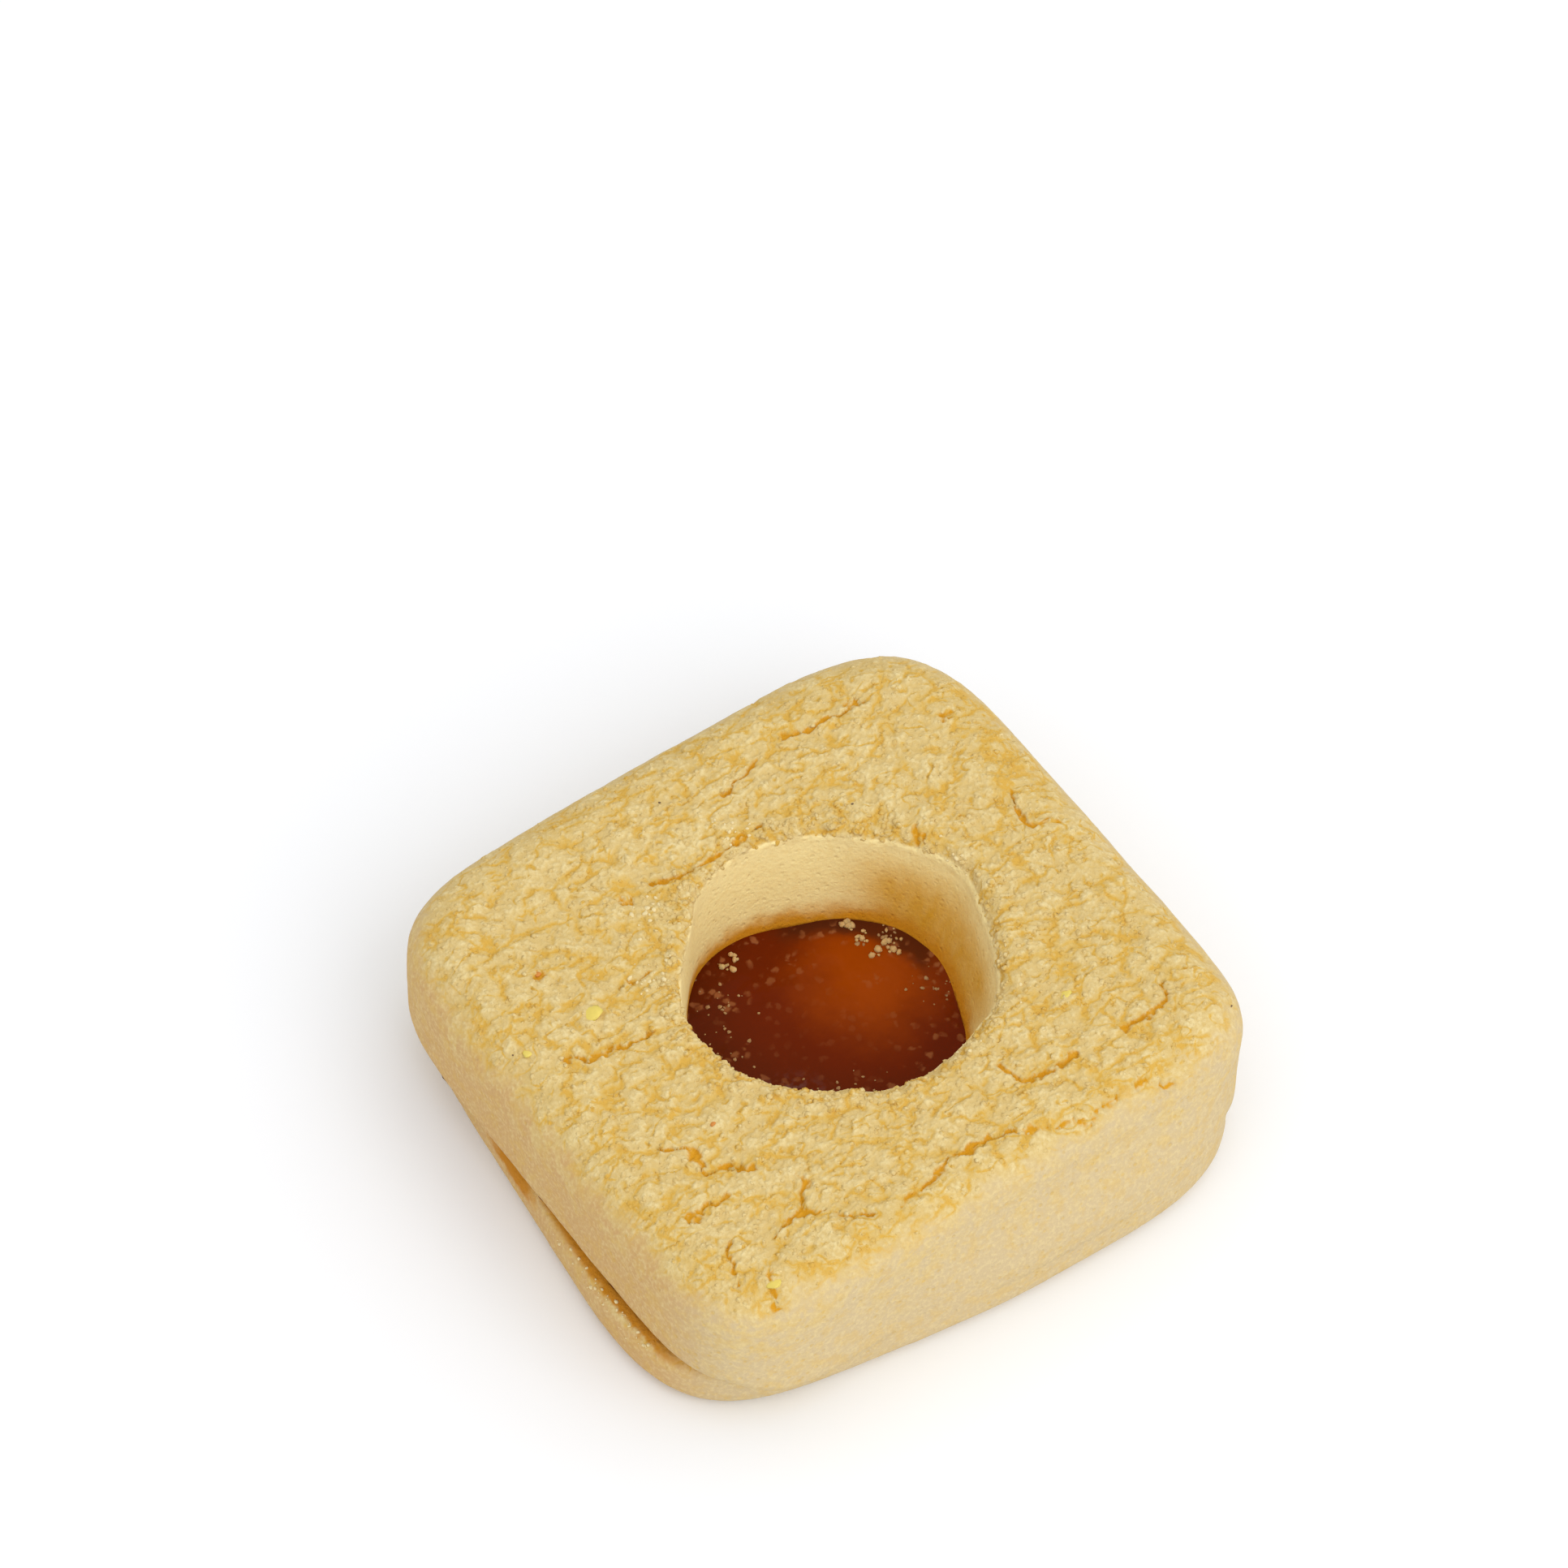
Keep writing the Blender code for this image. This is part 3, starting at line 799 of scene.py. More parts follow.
def crust_group():
    f = Group("crust colours", "ShaderNodeTree", CRUST_INPUTS, {"Color": "color", "Height": "float"})
    place, crumbly = f.given["Place"], f.given["Crumbly"]
    pattern = f.group(colour_pattern, {"Place": place})
    crack = f.group(colour_cracks, {"Place": place, "Away": f.given["Away"]})["Depth"]
    clouds = f.noise(place, 6.0, 3.0)
    grain = f.noise(place, 0.4, 3.0, 0.6)
    raised = f.plus(f.times(pattern["Lumps"], 0.25), f.times(pattern["Crumbs"], 0.35), f.times(grain, 0.7))
    crown = f.mix(f.step(raised, 0.45, 1.0), f.given["Crown colour"], f.given["Pale colour"])
    # Painted shade and bounce light: the low parts of the crown get a little of the golden gap colour.
    low = f.times(f.fall(raised, 0.28, 0.6), 0.12)
    crown = f.mix(low, crown, f.given["Gap colour"])
    parts = f.parts(place)
    # Painted shade: the -X side is painted browner.
    side_shade = f.times(f.step(f.times(parts["X"], -1.0), *SIDE_SHADE_FROM), f.step(parts["Y"], *SIDE_SHADE_PAST))
    side = f.mix(side_shade, f.given["Side colour"], f.given["Toasted colour"])
    yellow = f.plus(f.step(clouds, 0.42, 0.7), f.step(parts["Z"], *SHOULDER_YELLOW))
    yellow = f.times(yellow, f.step(f.noise(place, 1.6, 3.0, 0.6), 0.38, 0.62), 0.4)
    side = f.mix(yellow, side, f.given["Crown colour"])
    side = f.mix(f.times(f.step(grain, 0.42, 0.72), 0.42), side, f.given["Pale colour"])
    blotches = f.step(f.noise(place, 1.3, 3.0, 0.6), 0.46, 0.66)
    side = f.mix(f.times(blotches, 0.27), side, f.given["Gap colour"])
    pores = f.fall(f.cells(place, 0.9), 0.08, 0.3)
    side = f.mix(f.times(pores, f.step(clouds, 0.38, 0.55), 0.4), side, f.given["Gap colour"])
    colour = f.mix(crumbly, side, crown)
    # The gaps are golden, partly from browned butter and partly as painted shade and painted bounce light.
    colour = f.mix(f.times(pattern["Gaps"], crumbly, 0.85), colour, f.given["Gap colour"])
    # Painted shade: the deepest gaps turn dark orange like the cracks, whose colour is partly browned butter
    # and partly painted shade.
    deep_shade = f.times(f.step(pattern["Gaps"], 0.75, 1.0), crumbly, 0.25)
    deepest = f.math("MAXIMUM", deep_shade, f.times(crack, 0.95))
    f.give("Color", f.mix(deepest, colour, f.given["Crack colour"]))
    grainy = f.times(grain, f.plus(f.times(crumbly, 0.5), 1.1))
    rough = f.plus(grainy, f.times(pores, f.inverse(crumbly), -0.5))
    crumbs = f.times(f.plus(f.times(pattern["Crumbs"], 0.7), f.times(pattern["Gaps"], -0.3)), crumbly)
    f.give("Height", f.plus(rough, crumbs, f.times(crack, -0.4)))
    return f.tree


crust_colours = crust_group()
print("crust colours:", len(crust_colours.nodes), "nodes")


# %% A helper for materials
class Painting(Formula):
    """A material's own tree, written with the same helper as the groups."""

    def __init__(self, name):
        self.material = bpy.data.materials.new(name)
        self.material.use_nodes = True
        super().__init__(self.material.node_tree)

    def place(self):
        """Where each point lies, in millimetres."""
        return self.scaled(self.node("ShaderNodeTexCoord", {}).outputs["Object"], 1 / MM)

    def attribute(self, name, output):
        return self.node("ShaderNodeAttribute", {}, attribute_name=name).outputs[output]

    def bump(self, height, distance, strength=1.0):
        wires = {"Height": height, "Distance": distance, "Strength": strength}
        return self.node("ShaderNodeBump", wires).outputs["Normal"]

    def shaded(self, shade):
        """The material, with these values and outputs wired to its surface."""
        self.wire(self.tree.nodes["Principled BSDF"], shade)
        return self.material


# %% The wall of the well
WALL_COLOUR = (0.95, 0.79, 0.38, 1)
LIP_COLOUR = (0.93, 0.77, 0.38, 1)
GOLDEN_AND_SHADE_COLOUR = (0.68, 0.35, 0.015, 1)
SOAK_AND_SHADE_COLOUR = (0.66, 0.29, 0.014, 1)
SOAK_AND_SHADE_HEIGHTS = (8.4, 11.0)
GOLDEN_SHADE_HEIGHTS = (12.0, 18.5)
GOLDEN_SHADE_PAST = (7.5, 12.5)
LIP_HEIGHTS = (14.0, 18.5)
WALL_REACH = (WELL_MOUTH_RADIUS + 2.6, WELL_MOUTH_RADIUS + 3.6)


def soaked_and_shaded_in_well(p, place, colour):
    """Paler dough inside the well, golden on its +X side and low on its wall: partly jam soaking in, partly
    painted shade.
    """
    inside = p.fall(p.from_axis(place, WELL_AXIS), *WALL_REACH)
    smooth = p.fall(p.attribute("crumbly", "Fac"), 0.3, 0.9)
    parts = p.parts(place)
    height = p.plus(parts["Z"], p.times(p.noise(place, 1.5), 2.0))
    streaks = p.noise(p.vector("MULTIPLY", place, (1, 1, 0.25)), 1.2, 3.0, 0.6)
    # Painted shade, with some jam soaking in: the wall turns golden on its +X side, more so lower down.
    golden_shade = p.times(p.step(parts["X"], *GOLDEN_SHADE_PAST), p.fall(height, *GOLDEN_SHADE_HEIGHTS))
    golden_shade = p.times(golden_shade, p.plus(p.times(streaks, 0.5), 0.6))
    wall = p.mix(p.step(height, *LIP_HEIGHTS), WALL_COLOUR, LIP_COLOUR)
    wall = p.mix(golden_shade, wall, GOLDEN_AND_SHADE_COLOUR)
    mottled = p.step(p.noise(place, 0.6, 3.0, 0.6), 0.45, 0.7)
    wall = p.mix(p.times(mottled, 0.12), wall, GOLDEN_AND_SHADE_COLOUR)
    # Low on the wall, darker golden brown: partly jam soaking in, partly painted shade and painted bounce
    # light from the jam.
    wall = p.mix(p.fall(height, *SOAK_AND_SHADE_HEIGHTS), wall, SOAK_AND_SHADE_COLOUR)
    return p.mix(p.times(inside, smooth), colour, wall)


# %% The jam's stain at the open seam
SEAM_COLOUR = (0.52, 0.20, 0.006, 1)
SEAM_SQUARENESS = 6.3
LINE_REACH = (0.25, 0.85)
LINE_STARTS = (-24.5, -16.0)
LINE_ENDS = (12.0, 17.0)
LINE_HEIGHTS = (4.8, 5.5)
SMEAR_MIDDLE = 5.5
SMEAR_SPREAD = (2.0, 5.0)
SMEAR_HEIGHTS = (2.9, 3.9)
STAIN_PAST = (20.0, 24.0)


def outside_top(p, parts):
    """How far a point lies outside the top biscuit's outline, in millimetres, near the -X side."""
    sides = []
    for axis, middle, half in zip("XY", TOP_CENTRE, TOP_HALF):
        share = p.math("ABSOLUTE", p.times(p.plus(parts[axis], -middle), 1 / half))
        sides.append(p.math("POWER", share, SEAM_SQUARENESS))
    return p.times(p.plus(p.math("POWER", p.plus(*sides), 1 / SEAM_SQUARENESS), -1.0), TOP_HALF[0])


def soaked_by_seam(p, place, colour):
    """The jam's stain on the base: a thin line right under the top's foot, and a smear down the side."""
    parts = p.parts(place)
    wander = p.swing(place, 1.2, 3.0, 0.6)
    near = p.fall(p.plus(outside_top(p, parts), p.times(wander, 1.4)), *LINE_REACH)
    along = p.times(p.step(parts["Y"], *LINE_STARTS), p.fall(parts["Y"], *LINE_ENDS))
    broken = p.step(p.noise(place, 3.0), 0.25, 0.4)
    line = p.times(near, along, broken, p.step(parts["Z"], *LINE_HEIGHTS))
    off = p.math("ABSOLUTE", p.plus(parts["Y"], -SMEAR_MIDDLE))
    smear = p.fall(p.plus(off, p.times(wander, 3.0)), *SMEAR_SPREAD)
    smear = p.times(smear, p.step(p.plus(parts["Z"], p.times(wander, 2.0)), *SMEAR_HEIGHTS))
    stain = p.times(p.math("MAXIMUM", line, smear), p.step(p.times(parts["X"], -1.0), *STAIN_PAST))
    return p.mix(p.times(stain, 0.95), colour, SEAM_COLOUR)


# %% Crust materials
STORED = {"Place": "Vector", "Crumbly": "Fac", "Away": "Fac"}
GRAIN_HEIGHT = 0.1 * MM


def crust_material(name, soak_and_shade=None):
    """A crust's material, from what the relief tree stored, or a baked in crumb's when no soaking and painted
    shade is given.
    """
    p = Painting(name)
    if soak_and_shade:
        wires = {label: p.attribute(label.lower(), output) for label, output in STORED.items()}
    else:
        wires = {"Place": p.place(), "Crumbly": 1.0, "Away": SIDE_AWAY}
    crust = p.group(crust_colours, {**CRUST_TONES, **wires})
    shade = {
        "Base Color": soak_and_shade(p, wires["Place"], crust["Color"]) if soak_and_shade else crust["Color"],
        "Roughness": 0.85,
        "Specular IOR Level": 0.15,
        "Normal": p.bump(crust["Height"], GRAIN_HEIGHT),
    }
    return p.shaded(shade)


top_material = crust_material("shortbread", soaked_and_shaded_in_well)
base_material = crust_material("shortbread_base", soaked_by_seam)
crown_crumb = crust_material("crown_crumb")
for material in (top_material, base_material, crown_crumb):
    print(material.name, "has", len(material.node_tree.nodes), "nodes")

# %% The crusts get their relief, by depths in millimetres in the order of RELIEF_INPUTS
TOP_RELIEF = (0.35, 0.36, 0.14, 0.12, 0.34, 0.07)
BASE_RELIEF = (0.2, 0.1, 0.1, 0.05, 0.0, 0.08)
crusts = ((top_crust, top_material, TOP_RELIEF), (base_crust, base_material, BASE_RELIEF))
for crust, material, depths in crusts:
    grown(crust, relief, {"Routes": routes, "Material": material, **dict(zip(RELIEF_INPUTS, depths))})
bpy.data.objects.remove(routes)

# %% [markdown]
# Apricot jam boils down to a dark amber gel. Light goes in, is filtered orange and comes back weakly, so it
# is dark red brown where it is deep and shaded. Its colour here is painted: painted shade, dark red brown,
# away from one place, and a painted orange glow round it, where the light crosses it. Faint wrinkles in its
# dried skin are glossier than the rest and catch the light.

# %% Jam material
JAM_PAINTED_SHADE = (0.098, 0.014, 0.002, 1)
JAM_MIDDLE = (0.137, 0.0155, 0.001, 1)
JAM_PAINTED_GLOW = (0.31, 0.049, 0.0003, 1)
JAM_SPOT = (0.34, 0.12, 0.04, 1)
JAM_CRUST = (0.06, 0.016, 0.006, 1)
PAINTED_GLOW_CENTRE = (6.8, 3.2)
PAINTED_GLOW_REACH = (1.0, 10.5)
PAINTED_SHADE_REACH = (9.0, 17.0)
CRUST_PLACE = (8.5, 7.0)
CRUST_REACH = (5.0, 9.0)
SPOT_SPACING = 1.1
WRINKLE_PLACE = (-7.5, -5.0)
WRINKLE_REACH = (1.0, 5.0)
WALL_NEAR = (9.6, 11.2)
JAM_GRAIN_HEIGHT = 0.12 * MM
WELL = np.add(WELL_FLOOR_CENTRE, TOP_CENTRE)


def jam_material():
    p = Painting("apricot_jam")
    place = p.place()
    wander = p.times(p.swing(place, 4.0, 4.0, 0.6), 6.0)
    from_painted_glow = p.plus(p.from_axis(place, WELL + PAINTED_GLOW_CENTRE), wander)
    # Painted glow: the jam is painted bright orange round one place, where the light crosses it.
    painted_glow = p.fall(from_painted_glow, *PAINTED_GLOW_REACH)
    from_middle = p.plus(p.from_axis(place, WELL), p.times(wander, 0.4))
    colour = p.mix(painted_glow, JAM_MIDDLE, JAM_PAINTED_GLOW)
    # Painted shade: away from the glow the jam is painted dark red brown.
    colour = p.mix(p.step(from_painted_glow, *PAINTED_SHADE_REACH), colour, JAM_PAINTED_SHADE)
    from_crust = p.plus(p.from_axis(place, WELL + CRUST_PLACE), wander)
    crusted = p.times(p.fall(from_crust, *CRUST_REACH), p.step(from_middle, *WALL_NEAR))
    colour = p.mix(p.times(crusted, 0.8), colour, JAM_CRUST)
    spot = p.fall(p.cells(p.vector("ADD", place, p.shifts(place, 1.0)), SPOT_SPACING), 0.2, 0.42)
    spot = p.times(spot, p.step(p.noise(place, 3.5), 0.42, 0.58), p.plus(p.step(from_middle, 4.0, 11.5), 0.2))
    colour = p.mix(p.times(spot, 0.6), colour, JAM_SPOT)
    wrinkled = p.fall(p.from_axis(place, WELL + WRINKLE_PLACE), *WRINKLE_REACH)
    wrinkles = p.step(p.noise(place, 0.9, 3.0), 0.45, 0.6)
    height = p.plus(p.noise(place, 1.8, 2.0), p.times(wrinkles, wrinkled, 0.8), p.times(spot, 0.4))
    shade = {
        "Base Color": colour,
        "Roughness": p.plus(p.times(p.noise(place, 2.0, 3.0), 0.25), 0.03),
        "Specular IOR Level": 0.03,
        "Coat Weight": p.times(wrinkled, wrinkles, 0.8),
        "Normal": p.bump(height, JAM_GRAIN_HEIGHT, 0.8),
    }
    return p.shaded(shade)


jam.data.materials.append(jam_material())
print("the jam's material has", len(jam.data.materials[0].node_tree.nodes), "nodes")

# %% [markdown]
# Crumbs lie where they fell: on the jam, on the rim of the well and along the seam. One crumb is a small
# rough ball. A tree puts one on each point it is given, each turned and sized at random from a fixed seed,
# and makes them real mesh. The points are found by dropping straight down onto the crust or the jam.

# %% The tree that makes small bits
BIT_INPUTS = {"Geometry": "geometry", "Material": "material", "Fineness": "int", "Seed": "int"}
BIT_INPUTS.update(dict.fromkeys(("Smallest", "Largest", "Flatness"), "float"))
BIT_ROUGHNESS = 0.55
BIT_STRETCHES = ((0.7, 0.7, 0.6), (1.3, 1.3, 1.0))
BIT_TURNS = ((-0.4, -0.4, 0.0), (0.4, 0.4, 6.28))


def drawn_between(f, limits, seed):
    """A vector drawn for each bit between two limits."""
    wires = {0: limits[0], 1: limits[1], "Seed": seed}
    return f.node("FunctionNodeRandomValue", wires, data_type="FLOAT_VECTOR").outputs[0]


def bits_tree():
    f = Group("small bits", "GeometryNodeTree", BIT_INPUTS, {"Geometry": "geometry"})
    wires = {"Radius": 0.5, "Subdivisions": f.given["Fineness"]}
    ball = f.node("GeometryNodeMeshIcoSphere", wires).outputs["Mesh"]
    place = f.node("GeometryNodeInputPosition", {}).outputs[0]
    lumpy = f.scaled(f.shifts(f.scaled(place, 3.1), 1.0), BIT_ROUGHNESS)
    ball = f.node("GeometryNodeSetPosition", {"Geometry": ball, "Offset": lumpy}).outputs[0]
    ball = f.node("GeometryNodeSetShadeSmooth", {"Geometry": ball}).outputs[0]
    random = f.node("FunctionNodeRandomValue", {2: 0.0, 3: 1.0, "Seed": f.given["Seed"]}).outputs[1]
    spread = f.plus(f.given["Largest"], f.times(f.given["Smallest"], -1.0))
    size = f.plus(f.given["Smallest"], f.times(f.times(random, random), spread))
    stretch = drawn_between(f, BIT_STRETCHES, 7)
    flat = f.node("ShaderNodeCombineXYZ", {0: 1.0, 1: 1.0, 2: f.given["Flatness"]}).outputs[0]
    scale = f.scaled(f.vector("MULTIPLY", stretch, flat), f.times(size, MM))
    rotation = f.node("FunctionNodeEulerToRotation", {0: drawn_between(f, BIT_TURNS, 11)}).outputs[0]
    wires = {"Points": f.given["Geometry"], "Instance": ball, "Rotation": rotation, "Scale": scale}
    geometry = f.node("GeometryNodeInstanceOnPoints", wires).outputs[0]
    geometry = f.node("GeometryNodeRealizeInstances", {0: geometry}).outputs[0]
    geometry = f.node("GeometryNodeSetMaterial", {0: geometry, "Material": f.given["Material"]}).outputs[0]
    f.give("Geometry", geometry)
    return f.tree


bits = bits_tree()
print("bits tree:", len(bits.nodes), "nodes")


def bits_at(name, points, material, smallest, largest, flatness=1.0, seed=1, fineness=2):
    """One piece of small bits, one bit at each point."""
    made = added(name, mesh_of(name, [tuple(point) for point in points]))
    sizes = {"Smallest": smallest, "Largest": largest, "Flatness": flatness}
    grown(made, bits, {"Material": material, "Fineness": fineness, "Seed": seed, **sizes})
    return made


# %% Finding where a bit comes to rest
DROP_HEIGHT = 40 * MM
graph = bpy.context.evaluated_depsgraph_get()
surfaces = [bvhtree.BVHTree.FromObject(piece, graph) for piece in (top_crust, base_crust, jam)]
draw = np.random.default_rng(31)


def dropped(x, y, lift=0.0):
    """Where something dropped at x, y in millimetres lands, raised by lift."""
    start = Vector((x * MM, y * MM, DROP_HEIGHT))
    landed = [surface.ray_cast(start, Vector((0, 0, -1)))[0] for surface in surfaces]
    heights = [point.z for point in landed if point]
    return Vector((x * MM, y * MM, max(heights) + lift * MM)) if heights else None


def clusters(spots, centre, lift, heights):
    """Landing places of crumbs in clusters, each an x, y, spread and count, between these two heights."""
    points = []
    for x, y, spread, count in spots:
        for dx, dy in draw.normal(0, spread, (count, 2)):
            point = dropped(centre[0] + x + dx, centre[1] + y + dy, lift)
            if point and heights[0] * MM < point.z < heights[1] * MM:
                points.append(point)
    return points


print("the middle of the jam lies at", round(dropped(*WELL).z / MM, 2), "mm")

# %% What loose crumbs look like
SUBSURFACE_RADIUS = (1.0, 0.6, 0.3)
SUBSURFACE_REACH = 0.4 * MM
CRUMB_GRAIN_HEIGHT = 0.05 * MM


def crumb_material(name, colour, clear):
    p = Painting(name)
    place = p.place()
    tint = p.mix(p.times(p.noise(place, 0.8), 0.5), colour, CRUST_TONES["Pale colour"])
    shade = {
        "Base Color": tint,
        "Roughness": 0.8,
        "Subsurface Weight": clear,
        "Subsurface Radius": SUBSURFACE_RADIUS,
        "Subsurface Scale": SUBSURFACE_REACH,
        "Specular IOR Level": 0.3,
        "Normal": p.bump(p.noise(place, 0.2), CRUMB_GRAIN_HEIGHT),
    }
    return p.shaded(shade)


pale_crumb = crumb_material("pale_crumb", (0.80, 0.66, 0.36, 1), 0.0)
jam_crumb = crumb_material("jam_crumb", (0.52, 0.30, 0.11, 1), 0.3)
sunk_crumb = crumb_material("sunk_crumb", (0.26, 0.09, 0.025, 1), 0.3)
print("loose crumbs:", [material.name for material in (pale_crumb, jam_crumb, sunk_crumb)])

# %% Crumbs on the jam and in it
JAM_CRUMBS = (
    (7.7, 8.6, 0.45, 9), (8.3, 6.8, 0.5, 9), (9.1, 4.6, 0.6, 9), (10.6, 4.9, 0.6, 10),
    (-2.5, 11.3, 0.25, 4), (-3.4, 10.8, 0.3, 5), (-4.1, 11.0, 0.25, 3),
)
SUNK_CRUMBS = (
    (-6.6, 8.0, 1.5, 26), (-9.0, 3.0, 1.4, 14), (10.6, -1.7, 1.2, 22), (9.6, 5.6, 1.2, 18),
    (-3.0, -7.0, 2.5, 16),
)
ON_JAM = (JAM_LEVEL - 1.0, JAM_LEVEL + 0.8)
lying = clusters(JAM_CRUMBS, WELL, 0.05, ON_JAM)
jam_crumbs = bits_at("jam_crumbs", lying, jam_crumb, 0.22, 0.7, seed=3)
sunk = clusters(SUNK_CRUMBS, WELL, 0.0, ON_JAM)
sunk_crumbs = bits_at("sunk_crumbs", sunk, sunk_crumb, 0.12, 0.5, 0.6, seed=4)
print(len(lying), "crumbs lie on the jam and", len(sunk), "are sunk in it")

# %% [markdown]
# The relief rounds the crust off a little, so small crumbs are baked into it as well: evenly over the crown,
# and closer together round the well, whose lip is rougher. They keep clear of the cracks.

# %% Crumbs baked into the crown
CROWN_CRUMB_DRAWS = 13500
CROWN_HALF = 30
RIM_CRUMB_DRAWS = 900
RIM_SPREAD = 1.3
CRUMBLY_ENOUGH = 0.6
CRACK_CLEAR = 0.45


def baked_in(spots, sink):
    """Places where the crust is crumbly, with no crack near, for crumbs sunk this deep, in millimetres."""
    faces = top_crust.data.polygons
    crumbly, away = (top_crust.data.attributes[name].data for name in ("crumbly", "away"))
    points = []
    for x, y in spots:
        start = Vector((x * MM, y * MM, DROP_HEIGHT))
        point, normal, face, _ = surfaces[0].ray_cast(start, Vector((0, 0, -1)))
        if not point:
            continue
        corner = faces[face].vertices[0]
        if crumbly[corner].value > CRUMBLY_ENOUGH and away[corner].value > CRACK_CLEAR:
            points.append(point - normal * sink * MM)
    return points


def rim_spots():
    turns = draw.uniform(0, 2 * np.pi, RIM_CRUMB_DRAWS)
    radius = WELL_MOUTH_RADIUS + abs(draw.normal(0, RIM_SPREAD, RIM_CRUMB_DRAWS))
    return circle(turns, radius[:, None], WELL_AXIS)


crown_spots = baked_in(draw.uniform(-CROWN_HALF, CROWN_HALF, (CROWN_CRUMB_DRAWS, 2)), 0.13)
crown_crumbs = bits_at("crown_crumbs", crown_spots, crown_crumb, 0.26, 0.62, seed=2, fineness=1)
rim_crumbs = bits_at("rim_crumbs", baked_in(rim_spots(), 0.05), crown_crumb, 0.2, 0.75, seed=5, fineness=1)
print(len(crown_spots), "crumbs are baked into the crown")

# %% Loose crumbs on the rim and along the seam
SEAM_CRUMB_COUNT = 90
SEAM_CRUMB_ENDS = (-27, -2)
SEAM_CRUMB_REACHES = (1.9, 0.6)
SEAM_CRUMB_START = -30.9


def seam_points():
    """Crumbs that cling to the ledge of the base outside the top's foot, on -X."""
    points = []
    for y in draw.uniform(*SEAM_CRUMB_ENDS, SEAM_CRUMB_COUNT):
        x = SEAM_CRUMB_START - draw.uniform(0, 1) * np.interp(y, SEAM_CRUMB_ENDS, SEAM_CRUMB_REACHES)
        point = dropped(x, y, 0.03)
        if point and point.z < (BASE_HEIGHT + 0.3) * MM:
            points.append(point)
    return points


RIM_CLUSTERS = (
    (-9.4, 13.0, 1.0, 16), (-13.2, 7.0, 0.9, 14), (2.0, 15.6, 1.0, 14), (15.6, 2.4, 0.8, 16),
    (10.6, -11.4, 0.8, 14), (5.0, -14.6, 0.9, 8),
)
ON_RIM = (TOP_HEIGHT - 1.6, TOP_HEIGHT + 2.0)
flakes = clusters(RIM_CLUSTERS, TOP_CENTRE, 0.0, ON_RIM)
rim_flakes = bits_at("rim_flakes", flakes, pale_crumb, 0.2, 0.6, seed=12)
seam_crumbs = bits_at("seam_crumbs", seam_points(), pale_crumb, 0.12, 0.35, seed=6)
print(len(flakes), "crumbs lie on the rim of the well")

# %% [markdown]
# Apricot biscuits of this kind have grated peel in the dough: a few flat yellow flecks a millimetre or more
# long, sunk a little into the crown, smaller orange ones, and dark specks like ground pepper.

# %% Zest and specks
ZEST = ((-26.5, 6.6), (15.6, -15.4), (-19.8, 6.7), (-22.5, -25.3))
ORANGE_ZEST = ((-21.2, 12.9), (-17.6, -9.0))
DARKER = 0.85
SPECKS = ((-27.6, 7.3), (27.4, -24.0), (-2.0, 22.0), (12.0, 12.0), (-9.0, -12.0), (20.0, -8.0))


def flecks(name, spots, colour, smallest, largest, flatness, lift, seed):
    p = Painting(name)
    darker = tuple(DARKER * part for part in colour[:3]) + (1,)
    tint = p.mix(p.noise(p.place(), 0.5), colour, darker)
    material = p.shaded({"Base Color": tint, "Roughness": 0.6})
    points = [dropped(x + TOP_CENTRE[0], y + TOP_CENTRE[1], lift) for x, y in spots]
    return bits_at(name, [point for point in points if point], material, smallest, largest, flatness, seed)


zest = flecks("lemon_zest", ZEST, (0.84, 0.66, 0.13, 1), 1.0, 1.7, 0.3, -0.05, 8)
orange_zest = flecks("orange_zest", ORANGE_ZEST, (0.70, 0.26, 0.04, 1), 0.5, 0.9, 0.5, 0.0, 9)
specks = flecks("dark_specks", SPECKS, (0.16, 0.09, 0.04, 1), 0.15, 0.3, 0.6, 0.0, 10)

# %% [markdown]
# Every piece rides on the one rigid body, and the three large ones replace the plain solids. Each row of
# the table also names a material slot.

# %% Pieces join the frame
PIECES = (
    (top_crust, "shortbread", "top_biscuit"),
    (base_crust, "shortbread_base", "base_biscuit"),
    (jam, "apricot_jam", "jam_filling"),
    (crown_crumbs, "shortbread", None),
    (jam_crumbs, "shortbread", None),
    (sunk_crumbs, "shortbread", None),
    (rim_crumbs, "shortbread", None),
    (rim_flakes, "shortbread", None),
    (seam_crumbs, "shortbread", None),
    (zest, "shortbread", None),
    (orange_zest, "shortbread", None),
    (specks, "shortbread", None),
)
for piece, slot, node in PIECES:
    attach(piece, BODY)
    if node:
        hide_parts(node)
print(len(PIECES), "pieces ride on", BODY)

# %% [markdown]
# The set is a white table in soft daylight from the front, so the long front side is the brightest and a
# pale shadow falls to the back. The sky is brighter in front than behind, and one large soft lamp draws the
# shadow.

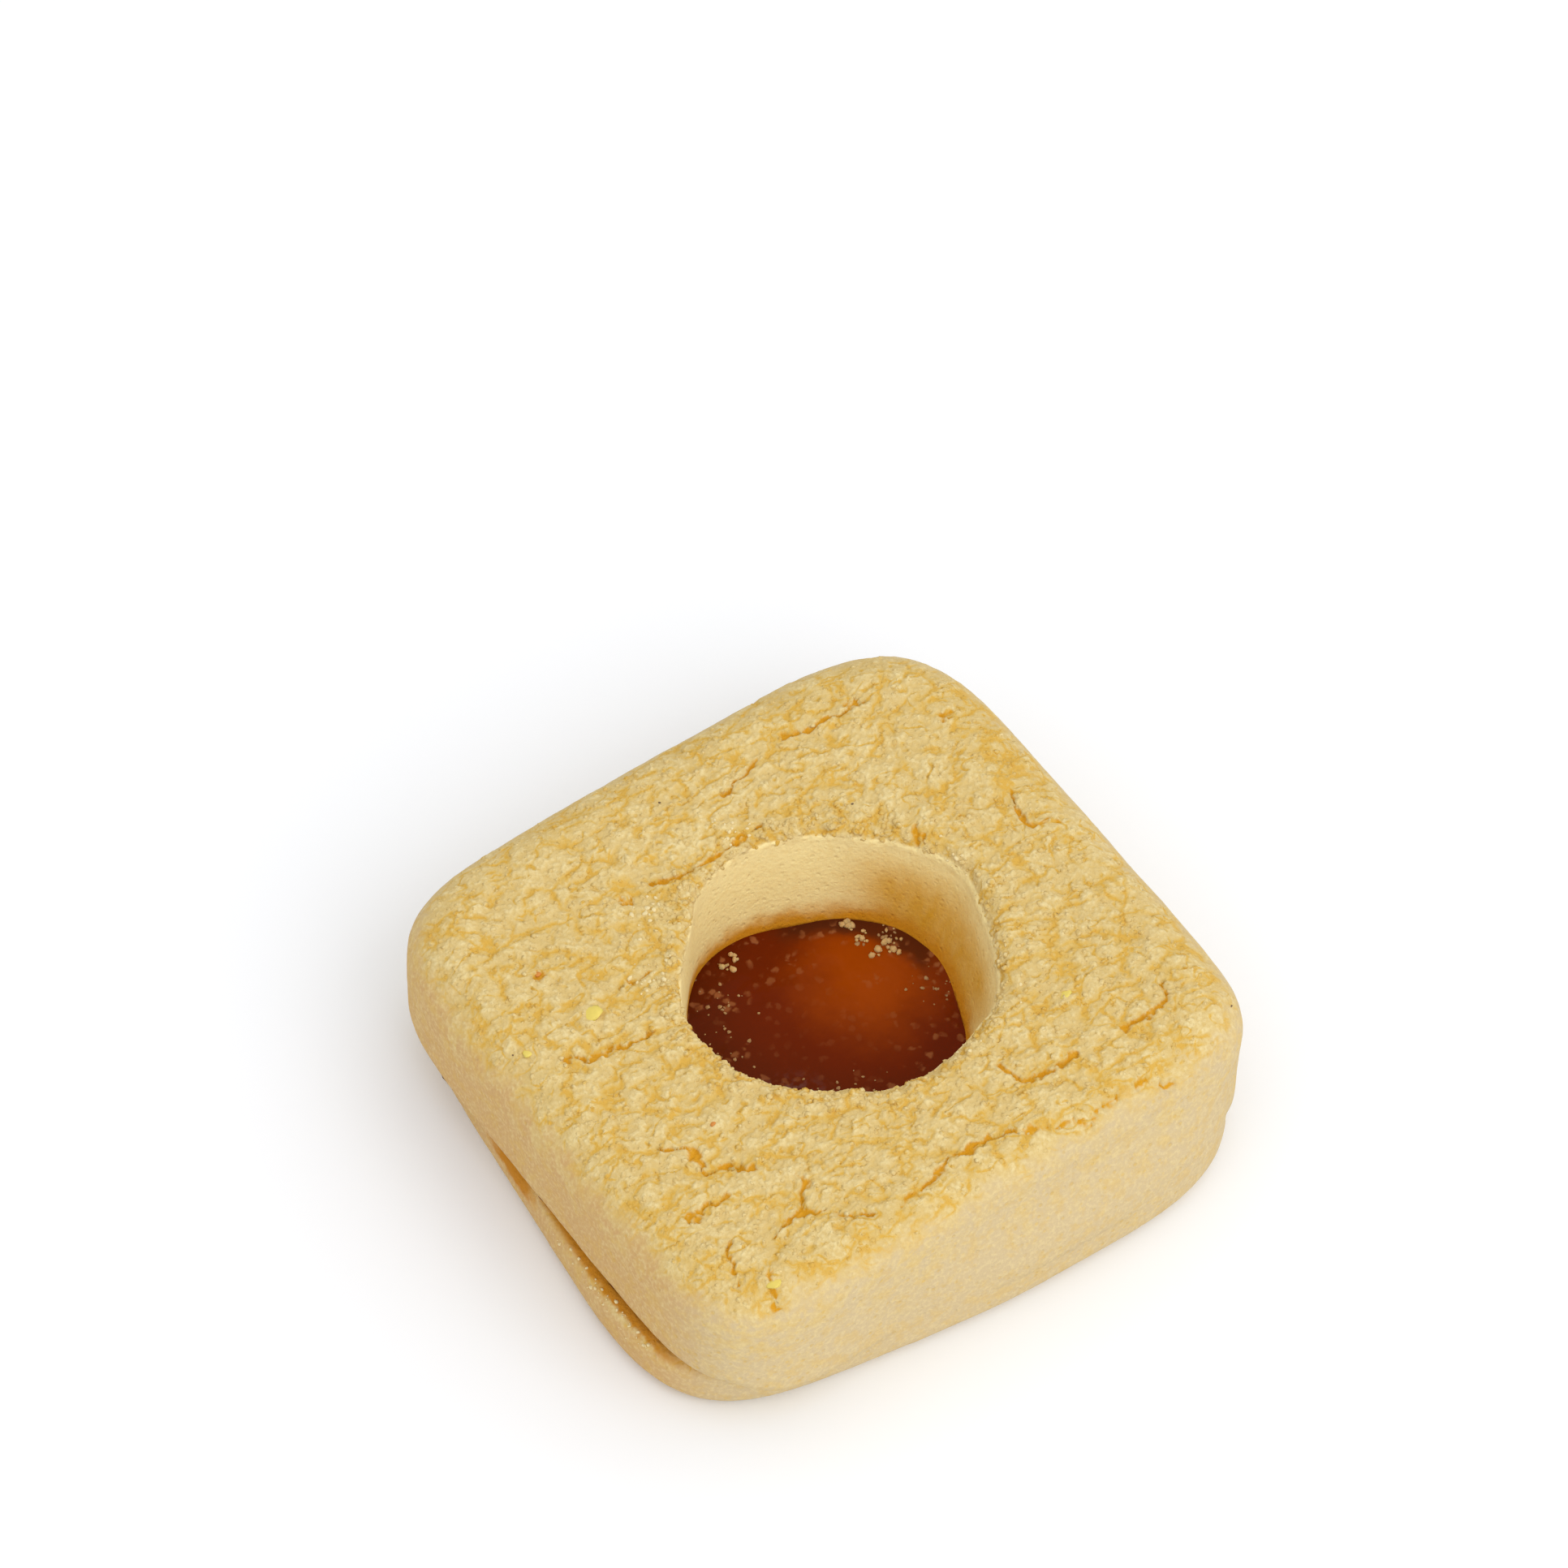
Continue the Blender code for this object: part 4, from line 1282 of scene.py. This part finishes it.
# %% Table, light and sky
FLOOR_SIZE = 6.0
FLOOR_COLOUR = (0.93, 0.94, 0.96, 1)
FRONT = (0.15, -0.55, 0.8)
SKY_DIM = 0.6
SKY_BRIGHT = 1.1
GLOW_FROM = -0.5
GLOW_FULL = 0.9
KEY_DIRECTION = (0.18, -0.98, 1.1)
KEY_DISTANCE = 0.8
KEY_SIZE = 0.6
KEY_SHARE = 0.24


def make_floor():
    half = FLOOR_SIZE / 2
    corners = [(-half, -half, 0), (half, -half, 0), (half, half, 0), (-half, half, 0)]
    table = added("table", mesh_of("table", corners, faces=[(0, 1, 2, 3)]))
    shade = {"Base Color": FLOOR_COLOUR, "Roughness": 0.9, "Specular IOR Level": 0.1}
    table.data.materials.append(Painting("table").shaded(shade))


def make_key():
    """A square soft light. Its power gives a white surface that faces it KEY_SHARE of full brightness."""
    data = bpy.data.lights.new("key", "AREA")
    data.shape = "SQUARE"
    data.size = KEY_SIZE
    data.energy = KEY_SHARE * np.pi**2 * KEY_DISTANCE**2
    key = added("key", data)
    direction = Vector(KEY_DIRECTION).normalized()
    key.location = direction * KEY_DISTANCE
    key.rotation_mode = "QUATERNION"
    key.rotation_quaternion = direction.to_track_quat("Z", "Y")


def make_sky():
    world = bpy.data.worlds.new("sky")
    world.use_nodes = True
    f = Formula(world.node_tree)
    direction = f.node("ShaderNodeTexCoord", {}).outputs["Generated"]
    towards = {0: direction, 1: Vector(FRONT).normalized()}
    facing = f.node("ShaderNodeVectorMath", towards, operation="DOT_PRODUCT").outputs["Value"]
    spread = {0: facing, 1: GLOW_FROM, 2: GLOW_FULL, 3: SKY_DIM, 4: SKY_BRIGHT}
    strength = f.node("ShaderNodeMapRange", spread, interpolation_type="SMOOTHSTEP").outputs[0]
    f.wire(f.tree.nodes["Background"], {"Color": (1, 1, 1, 1), "Strength": strength})
    bpy.context.scene.world = world


make_floor()
make_key()
make_sky()
bpy.context.scene.view_settings.view_transform = "Standard"
print("lamp of", KEY_SIZE, "m at", KEY_DISTANCE, "m, sky from", SKY_DIM, "to", SKY_BRIGHT)
